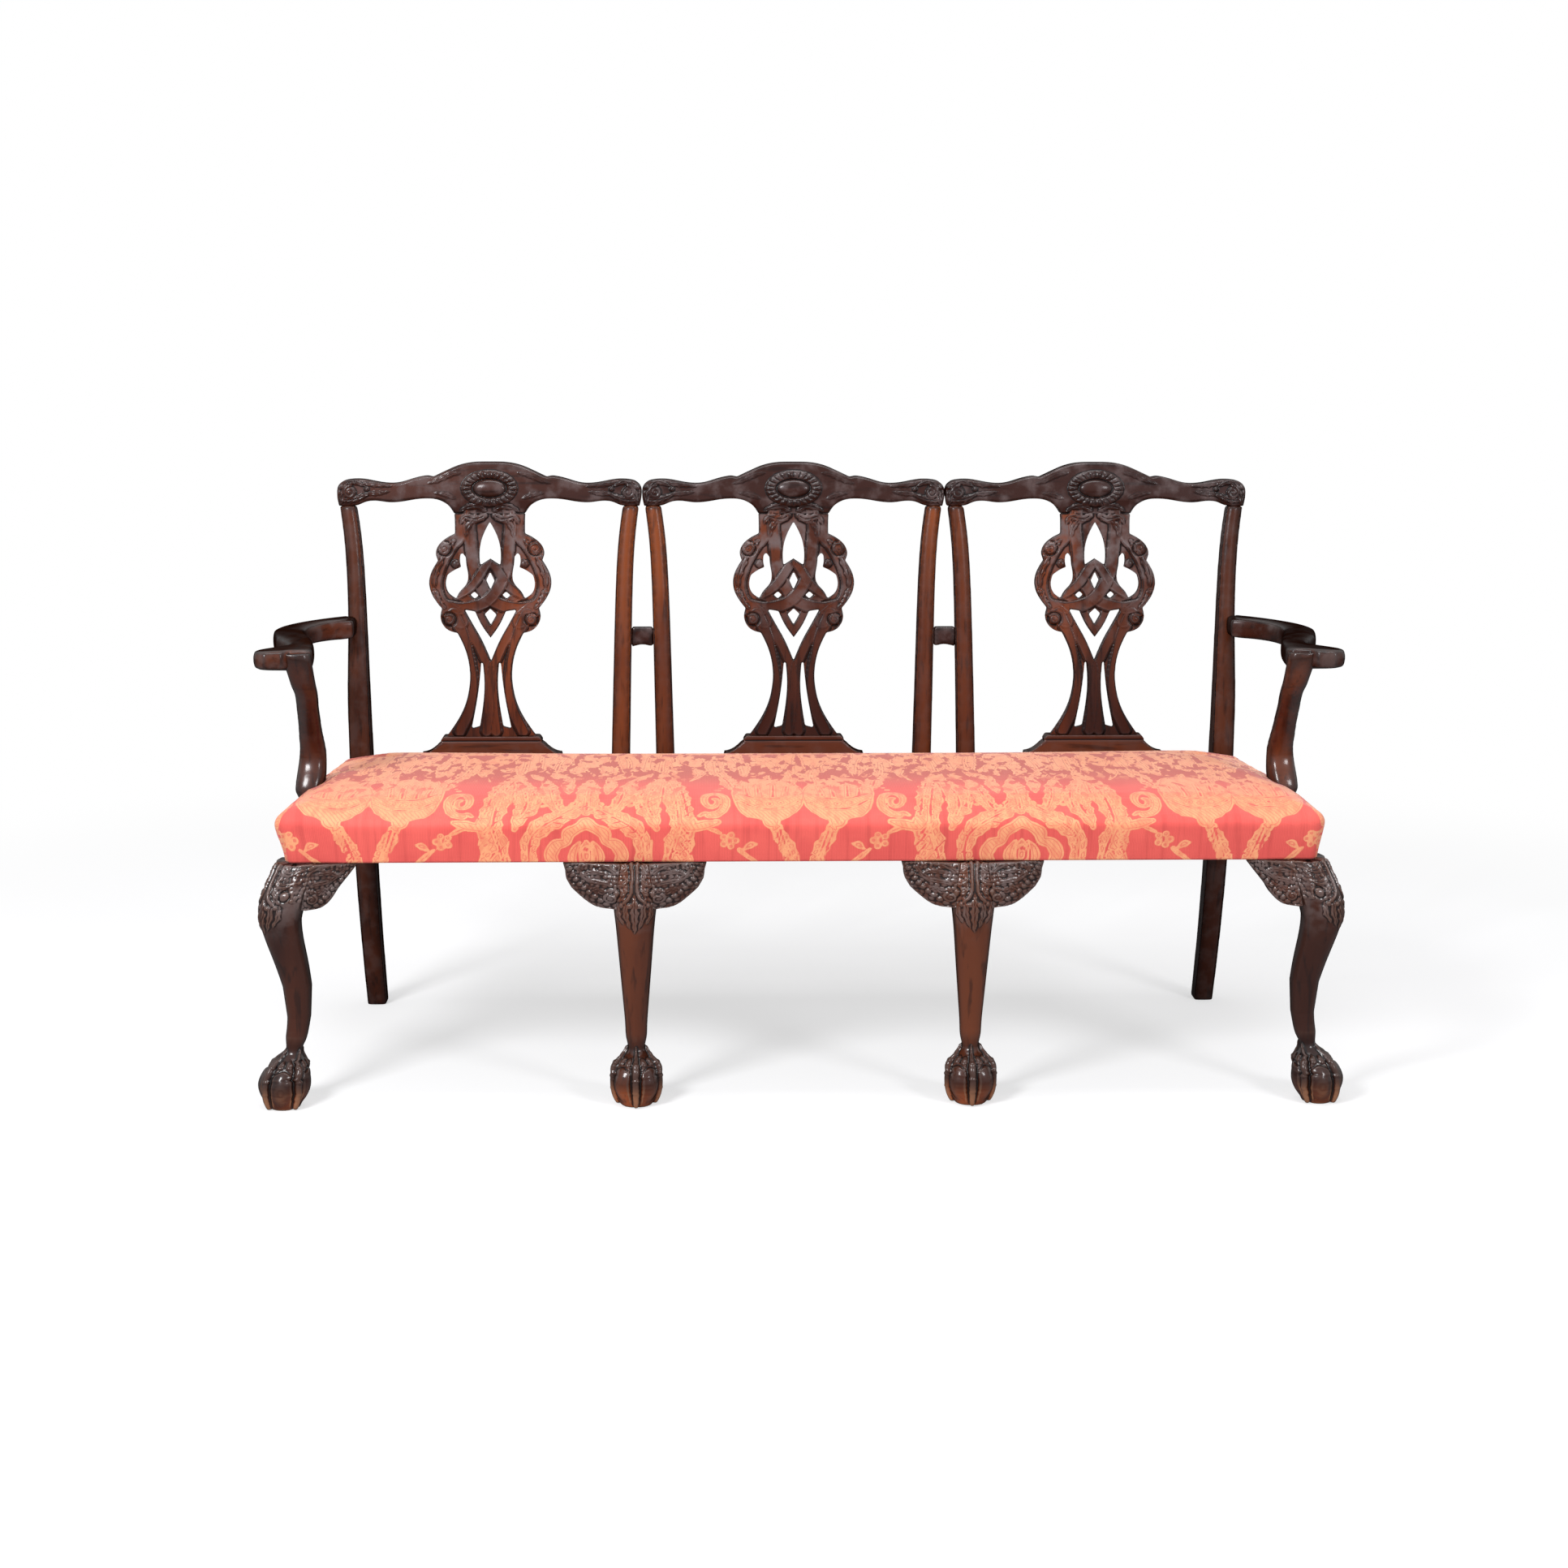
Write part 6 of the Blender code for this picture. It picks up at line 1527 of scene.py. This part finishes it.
seatBody = seatMesh(seatSet)
fillSides(seatBody, fullness, seatSet)
swollen(seatBody, stuffingSet)
for node in cutSet["nodes"]:
    seatBody = cutRound(seatBody, node, cutSet["grow"])
onCloth = [valuesIn(seatBody, label) for label in ("fabricU", "fabricV")]
setValues(seatBody, "gold", damaskEdge(*onCloth, damaskSet))
seat = addPiece("seat_upholstery", seatBody, damaskMaterial(clothSet), "damask", "seat_cover", "seat_pad")
print("seat covered:", len(seatBody.polygons), "faces")

# Rails, blocks and braces keep their solids, in beech
railWays = {
    "across": ("front_rail", "rear_rail", "corner_block_front_left", "corner_block_front_right",
               "corner_block_rear_left", "corner_block_rear_right"),
    "lengthways": ("side_rail_left", "side_rail_right", "cross_brace_left", "cross_brace_right"),
}
for word, nodes in railWays.items():
    for node in nodes:
        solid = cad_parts[node].data
        solid.materials.clear()
        solid.materials.append(beech[word])

# Weave: crossed threads, shared by the hidden cloths
weaveSet = {
    "slub": {"scale": 60.0, "detail": 3.0}, "slubShade": 0.5, "height": 0.5, "heightShade": 0.8,
    "bump": {"Strength": 0.4, "Distance": 0.0004}, "rough": 0.85, "gloss": 0.1,
}


def makeWeaveTones(s):
    tree, given, out = newTree("weaveTones", "ShaderNodeTree", [
        ("Vector", "Vector"), ("Pitch", "Float"), ("Thread", "Color"), ("Gap", "Color"),
    ], [("Colour", "Color"), ("Height", "Float")])
    parts = addNode(tree, "ShaderNodeSeparateXYZ", None, {"Vector": given["Vector"]}).outputs
    wave = maths(tree, "DIVIDE", 2 * math.pi, given["Pitch"])
    warp = maths(tree, "SINE", maths(tree, "MULTIPLY", parts["X"], wave))
    weft = maths(tree, "SINE", maths(tree, "MULTIPLY", parts["Y"], wave))
    height = maths(tree, "MULTIPLY", maths(tree, "MULTIPLY", warp, weft), s["height"])
    slub = noiseOf(tree, given["Vector"], **s["slub"])
    raised = maths(tree, "MULTIPLY", height, s["heightShade"])
    shade = maths(tree, "MULTIPLY_ADD", slub, s["slubShade"], raised, clamp=True)
    tree.links.new(blendColour(tree, shade, given["Thread"], given["Gap"]), out["Colour"])
    tree.links.new(height, out["Height"])
    return tree


weaveTones = makeWeaveTones(weaveSet)


def clothMaterial(name, s, weave):
    made, tree, shader = newMaterial(name)
    tones = placeGroup(tree, weaveTones, {
        "Vector": objectPlace(tree), "Pitch": s["pitch"], "Thread": s["thread"], "Gap": s["gap"],
    })
    setShader(tree, shader, {
        "Base Color": tones["Colour"],
        "Normal": bumpOf(tree, tones["Height"], weave["bump"]),
        "Roughness": weave["rough"],
        "Specular IOR Level": weave["gloss"],
    })
    return made


cambricSet = {"pitch": 0.0009, "thread": (0.030, 0.028, 0.027, 1), "gap": (0.010, 0.010, 0.010, 1)}
juteSet = {"pitch": 0.0024, "thread": (0.42, 0.29, 0.16, 1), "gap": (0.16, 0.10, 0.05, 1)}
jute = clothMaterial("jute_weave", juteSet, weaveSet)
cambric = clothMaterial("cambric_weave", cambricSet, weaveSet)

# Hessian and dust cloth: stretched flat sheets, the dust cloth sagging a little
sheetSet = {
    "step": 0.026, "dustSag": 0.0035, "upward": 0.7,
    "rails": ["front_rail", "rear_rail", "side_rail_left", "side_rail_right"],
}


def griddedCopy(node, step):
    bm = nodeCopy(node)
    low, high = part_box(node)
    for axis in (0, 1):
        count = round((high[axis] - low[axis]) / step)
        for i in range(1, count):
            spot = Vector((0, 0, 0))
            spot[axis] = low[axis] + (high[axis] - low[axis]) * i / count
            way = Vector((0, 0, 0))
            way[axis] = 1.0
            slicedAt(bm, spot, way)
    return meshFrom(bm, node + "Grid")


def sagged(mesh, node, sag):
    low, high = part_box(node)
    places = coords(mesh)
    across = (places[:, 0] - low.x) / (high.x - low.x) * 2 - 1
    deep = (places[:, 1] - low.y) / (high.y - low.y) * 2 - 1
    places[:, 2] -= sag * (1 - across ** 4) * (1 - deep ** 2)
    setCoords(mesh, places)


def addSheet(name, mesh, material, slotName, node):
    piece = addPiece(name, mesh, material, slotName, node)


hessianMesh = griddedCopy("hessian", sheetSet["step"])
addSheet("stretched_hessian", hessianMesh, jute, "jute", "hessian")
dustMesh = griddedCopy("dust_cloth", sheetSet["step"])
sagged(dustMesh, "dust_cloth", sheetSet["dustSag"])
addSheet("stretched_dust_cloth", dustMesh, cambric, "cambric", "dust_cloth")

# Webbing: straps that pass over and under each other
webSet = {
    "wide": 0.050, "thick": 0.0006, "rise": 0.00042, "margin": 0.018,
    "lengthwise": 3, "crosswise": 7, "steps": 96,
}


def ribbon(line, way, wide, thick):
    across = np.array(way) * wide / 2
    up = np.array((0, 0, thick / 2))
    ring = np.stack([line - across - up, line + across - up, line + across + up, line - across + up], 1)
    count = len(line)
    faces = []
    for i in range(count - 1):
        for k in range(4):
            m = (k + 1) % 4
            faces.append((4 * i + k, 4 * i + m, 4 * i + 4 + m, 4 * i + 4 + k))
    faces += [(3, 2, 1, 0), tuple(4 * (count - 1) + k for k in range(4))]
    return ring.reshape(-1, 3), faces


def strapLines(s, seat):
    level = (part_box("webbing")[0].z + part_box("webbing")[1].z) / 2
    y0, y1 = s["margin"], seat["depth"] - s["margin"] / 2
    rows = [y0 + (y1 - y0) * (i + 0.5) / s["lengthwise"] for i in range(s["lengthwise"])]
    shares = [(j + 0.5) / s["crosswise"] * 2 - 1 for j in range(s["crosswise"])]
    t = np.linspace(-1, 1, s["steps"])
    for i, y in enumerate(rows):
        reach = seatHalf(seat, y) - s["margin"]
        height = np.interp(t, shares, [s["rise"] * (-1) ** (i + j) for j in range(len(shares))])
        yield np.stack([t * reach, y + seat["frontY"] + 0 * t, level + height], 1), (0, 1, 0)
    y = y0 + (y1 - y0) * (t + 1) / 2
    for j, share in enumerate(shares):
        height = np.interp(y, rows, [-s["rise"] * (-1) ** (i + j) for i in range(len(rows))])
        x = share * (seatHalf(seat, y) - s["margin"])
        yield np.stack([x, y + seat["frontY"], level + height], 1), (1, 0, 0)


def weaveStraps(s, seat):
    places, faces, total = [], [], 0
    for line, way in strapLines(s, seat):
        made, sides = ribbon(line, way, s["wide"], s["thick"])
        faces += [tuple(v + total for v in f) for f in sides]
        places.append(made)
        total += len(made)
    mesh = bpy.data.meshes.new("webbingStraps")
    mesh.from_pydata(np.concatenate(places).tolist(), [], faces)
    return facedOutward(mesh)


addSheet("woven_webbing", weaveStraps(webSet, seatSet), jute, "jute", "webbing")
print("hidden cloths laid")

# Steel of the screws and tacks
steelSet = {
    "bright": (0.45, 0.44, 0.42, 1), "dull": (0.22, 0.20, 0.18, 1),
    "stain": {"scale": 400.0, "detail": 3.0}, "stainBand": (0.4, 0.7), "rough": 0.25, "stainRough": 0.3,
}


def steelMaterial(s):
    made, tree, shader = newMaterial("steel_fixings")
    stain = noiseOf(tree, objectPlace(tree), **s["stain"])
    setShader(tree, shader, {
        "Base Color": blendColour(tree, rampOf(tree, stain, *s["stainBand"]), s["bright"], s["dull"]),
        "Roughness": maths(tree, "MULTIPLY_ADD", stain, s["stainRough"], s["rough"]),
        "Metallic": 1.0,
    })
    return made


steel = steelMaterial(steelSet)


# Geometry Nodes: slotted screws and cloth tacks
def newGrowth(name, *labels):
    sockets = [("Geometry", "Geometry")] + [(label, "Float") for label in labels] + [("Material", "Material")]
    return newTree(name, "GeometryNodeTree", sockets, [("Geometry", "Geometry")])


def grown(name, base, tree, values):
    holder = inScene(name + "Source", base)
    growth = addModifier(holder, "growth", "NODES", node_group=tree)
    for item in tree.interface.items_tree:
        if item.in_out == "INPUT" and item.name in values:
            growth[item.identifier] = values[item.name]
    return evaluated(holder)


def lifted(tree, shape, height):
    return addNode(tree, "GeometryNodeTransform", None, {
        "Geometry": shape, "Translation": vectorOf(tree, Z=height),
    }).outputs["Geometry"]


def finishGrowth(tree, out, spots, material):
    real = addNode(tree, "GeometryNodeRealizeInstances", None, {"Geometry": spots.outputs["Instances"]})
    done = addNode(tree, "GeometryNodeSetMaterial", None, {
        "Geometry": real.outputs["Geometry"], "Material": material,
    })
    tree.links.new(done.outputs["Geometry"], out["Geometry"])


screwSet = {
    "Head Radius": 0.005, "Head Height": 0.003, "Shank Radius": 0.0022, "Slot Width": 0.0012,
    "Thread": 0.0005,
}
screwShape = {
    "headSides": 32, "shankSides": 24, "slotLength": 3.0, "slotLift": 0.6, "headSink": -0.5,
    "shankSink": -0.001, "turns": 14.0, "coilSteps": 16, "wireSides": 6, "coilShare": 0.6, "coilSink": -0.97,
    "shorter": 0.002,
}


def screwHead(tree, size, s):
    head = addNode(tree, "GeometryNodeMeshCylinder", None, {
        "Vertices": s["headSides"], "Radius": size["Head Radius"], "Depth": size["Head Height"],
    }).outputs["Mesh"]
    slotLength = maths(tree, "MULTIPLY", size["Head Radius"], s["slotLength"])
    slotSize = vectorOf(tree, X=slotLength, Y=size["Slot Width"], Z=size["Head Height"])
    slot = addNode(tree, "GeometryNodeMeshCube", None, {"Size": slotSize}).outputs["Mesh"]
    slot = lifted(tree, slot, maths(tree, "MULTIPLY", size["Head Height"], s["slotLift"]))
    cutHead = addNode(tree, "GeometryNodeMeshBoolean", {"operation": "DIFFERENCE"}, {
        "Mesh 1": head, "Mesh 2": slot,
    }).outputs["Mesh"]
    return lifted(tree, cutHead, maths(tree, "MULTIPLY", size["Head Height"], s["headSink"]))


def screwShank(tree, size, s):
    shank = addNode(tree, "GeometryNodeMeshCylinder", None, {
        "Vertices": s["shankSides"], "Radius": size["Shank Radius"], "Depth": size["Length"],
    }).outputs["Mesh"]
    return lifted(tree, shank, maths(tree, "MULTIPLY_ADD", size["Length"], -0.5, s["shankSink"]))


def screwThread(tree, size, s):
    coil = addNode(tree, "GeometryNodeCurveSpiral", None, {
        "Resolution": s["coilSteps"], "Rotations": s["turns"],
        "Start Radius": size["Shank Radius"], "End Radius": size["Shank Radius"],
        "Height": maths(tree, "MULTIPLY", size["Length"], s["coilShare"]),
    }).outputs["Curve"]
    wire = addNode(tree, "GeometryNodeCurvePrimitiveCircle", None, {
        "Resolution": s["wireSides"], "Radius": size["Thread"],
    }).outputs["Curve"]
    thread = addNode(tree, "GeometryNodeCurveToMesh", None, {
        "Curve": coil, "Profile Curve": wire, "Fill Caps": True,
    }).outputs["Mesh"]
    return lifted(tree, thread, maths(tree, "MULTIPLY", size["Length"], s["coilSink"]))


def screwTree(s):
    tree, size, out = newGrowth(
        "slottedScrews", "Length", "Head Radius", "Head Height", "Shank Radius", "Slot Width", "Thread")
    whole = addNode(tree, "GeometryNodeJoinGeometry")
    for part in (screwThread(tree, size, s), screwShank(tree, size, s), screwHead(tree, size, s)):
        tree.links.new(part, whole.inputs["Geometry"])
    way = addNode(tree, "GeometryNodeInputNamedAttribute", {"data_type": "FLOAT_VECTOR"}, {"Name": "headWay"})
    turn = addNode(tree, "FunctionNodeAlignRotationToVector", {"axis": "Z"}, {
        "Vector": way.outputs["Attribute"],
    })
    spots = addNode(tree, "GeometryNodeInstanceOnPoints", None, {
        "Points": size["Geometry"],
        "Instance": whole.outputs["Geometry"],
        "Rotation": turn.outputs["Rotation"],
    })
    finishGrowth(tree, out, spots, size["Material"])
    return tree


def screwHeads(name, spots):
    mesh = bpy.data.meshes.new(name)
    mesh.from_pydata([spot for spot, way in spots], [], [])
    layer = mesh.attributes.new("headWay", "FLOAT_VECTOR", "POINT")
    layer.data.foreach_set("vector", np.array([way for spot, way in spots], np.float32).ravel())
    return mesh


# Each head stands at the end of its solid that its way points to
def addScrews(word, nodes, axis, ways):
    spots = []
    for node, way in zip(nodes, ways):
        low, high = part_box(node)
        spot = [(low[i] + high[i]) / 2 for i in range(3)]
        spot[axis] = high[axis] if way > 0 else low[axis]
        spots.append((spot, [way if i == axis else 0 for i in range(3)]))
    low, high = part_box(nodes[0])
    length = (high[axis] - low[axis]) - screwShape["shorter"]
    screws = grown(word + "_screws", screwHeads(word + "Heads", spots), slottedScrews,
                   {**screwSet, "Length": length, "Material": steel})
    addPiece("slotted_" + word + "_screws", screws, steel, "steel", *nodes)


slottedScrews = screwTree(screwShape)
addScrews("arm", ["arm_screw_left", "arm_screw_right"], 1, [1, 1])
addScrews("support", [
    "support_screw_left_lower", "support_screw_left_upper",
    "support_screw_right_lower", "support_screw_right_upper",
], 0, [1, 1, -1, -1])
tackSet = {
    "Spacing": 0.042, "Radius": 0.0034, "inset": 0.034, "front": 0.026, "rear": 0.508, "level": 0.3863,
    "segments": 16, "rings": 8, "squash": (1.0, 1.0, 0.3),
}


def tackTree(s):
    tree, given, out = newGrowth("clothTacks", "Spacing", "Radius")
    curve = addNode(tree, "GeometryNodeMeshToCurve", None, {"Mesh": given["Geometry"]}).outputs["Curve"]
    even = addNode(tree, "GeometryNodeResampleCurve", {"mode": "LENGTH"}, {
        "Curve": curve, "Length": given["Spacing"],
    }).outputs["Curve"]
    ball = addNode(tree, "GeometryNodeMeshUVSphere", None, {
        "Segments": s["segments"], "Rings": s["rings"], "Radius": given["Radius"],
    }).outputs["Mesh"]
    ball = addNode(tree, "GeometryNodeTransform", None, {
        "Geometry": ball, "Scale": s["squash"],
    }).outputs["Geometry"]
    spots = addNode(tree, "GeometryNodeInstanceOnPoints", None, {"Points": even, "Instance": ball})
    finishGrowth(tree, out, spots, given["Material"])
    return tree


def tackPath(s, seat):
    spots = []
    for y, side in ((s["front"], -1), (s["front"], 1), (s["rear"], 1), (s["rear"], -1)):
        spots.append((side * (seatHalf(seat, y) - s["inset"]), y + seat["frontY"], s["level"]))
    mesh = bpy.data.meshes.new("tackPath")
    mesh.from_pydata(spots, [(0, 1), (1, 2), (2, 3), (3, 0)], [])
    return mesh


tacks = grown("cloth_tacks", tackPath(tackSet, seatSet), tackTree(tackSet),
              {"Spacing": tackSet["Spacing"], "Radius": tackSet["Radius"], "Material": steel})
addPiece("dust_cloth_tacks", tacks, steel, "steel")
print("screws and tacks set")

# Stage: pale floor, soft studio light, white background
stageSet = {
    "floorSize": 14, "floorTone": (0.45, 0.45, 0.46, 1), "floorLift": 0.57, "nearFloor": 1.3, "farFloor": 2.9,
    "ambient": 0.42, "background": (1, 1, 1, 1),
}


def makeFloor(s):
    bm = bmesh.new()
    bmesh.ops.create_grid(bm, x_segments=1, y_segments=1, size=s["floorSize"])
    mesh = meshFrom(bm, "floor")
    made = bpy.data.materials.new("studio_floor")
    made.use_nodes = True
    tree = made.node_tree
    tree.nodes.clear()
    seen = addNode(tree, "ShaderNodeLightPath").outputs["Is Camera Ray"]
    matte = addNode(tree, "ShaderNodeBsdfDiffuse", None, {"Color": s["floorTone"]}).outputs[0]
    strength = maths(tree, "MULTIPLY", seen, s["floorLift"])
    lift = addNode(tree, "ShaderNodeEmission", None, {"Strength": strength}).outputs[0]
    both = addNode(tree, "ShaderNodeAddShader", None, {0: matte, 1: lift}).outputs[0]
    place = objectPlace(tree)
    away = addNode(tree, "ShaderNodeVectorMath", {"operation": "LENGTH"}, {0: place}).outputs["Value"]
    far = maths(tree, "MULTIPLY", rampOf(tree, away, s["nearFloor"], s["farFloor"]), seen)
    white = addNode(tree, "ShaderNodeEmission").outputs[0]
    fade = addNode(tree, "ShaderNodeMixShader", None, {0: far, 1: both, 2: white}).outputs[0]
    addNode(tree, "ShaderNodeOutputMaterial", None, {"Surface": fade})
    mesh.materials.append(made)
    inScene("floor", mesh)


def makeWorld(s):
    world = bpy.data.worlds.new("studio")
    world.use_nodes = True
    tree = world.node_tree
    path = addNode(tree, "ShaderNodeLightPath").outputs
    seen = maths(tree, "MAXIMUM", path["Is Camera Ray"], path["Is Transmission Ray"])
    seen = maths(tree, "MAXIMUM", seen, path["Is Glossy Ray"])
    setShader(tree, tree.nodes["Background"], {
        "Color": s["background"],
        "Strength": maths(tree, "MULTIPLY_ADD", seen, 1.0 - s["ambient"], s["ambient"]),
    })
    scene.world = world


lampSet = {
    "keyLamp": {"place": (-1.9, -2.7, 2.6), "aim": (0, 0, 0.5), "size": (0.9, 0.9), "power": 120},
    "fillLamp": {"place": (2.3, -2.9, 2.2), "aim": (0, 0, 0.5), "size": (0.8, 0.8), "power": 58},
    "topLamp": {"place": (0, -0.4, 3.4), "aim": (0, 0, 0.4), "size": (2.4, 0.8), "power": 44},
}


def makeLamp(name, s):
    data = bpy.data.lights.new(name, "AREA")
    data.shape = "RECTANGLE"
    data.size, data.size_y = s["size"]
    data.energy = s["power"]
    lamp = inScene(name, data)
    lamp.location = s["place"]
    lamp.rotation_euler = (Vector(s["aim"]) - Vector(s["place"])).to_track_quat("-Z", "Y").to_euler()


makeFloor(stageSet)
makeWorld(stageSet)
for name, settings in lampSet.items():
    makeLamp(name, settings)
scene.view_settings.view_transform = "Standard"
print("stage lit")
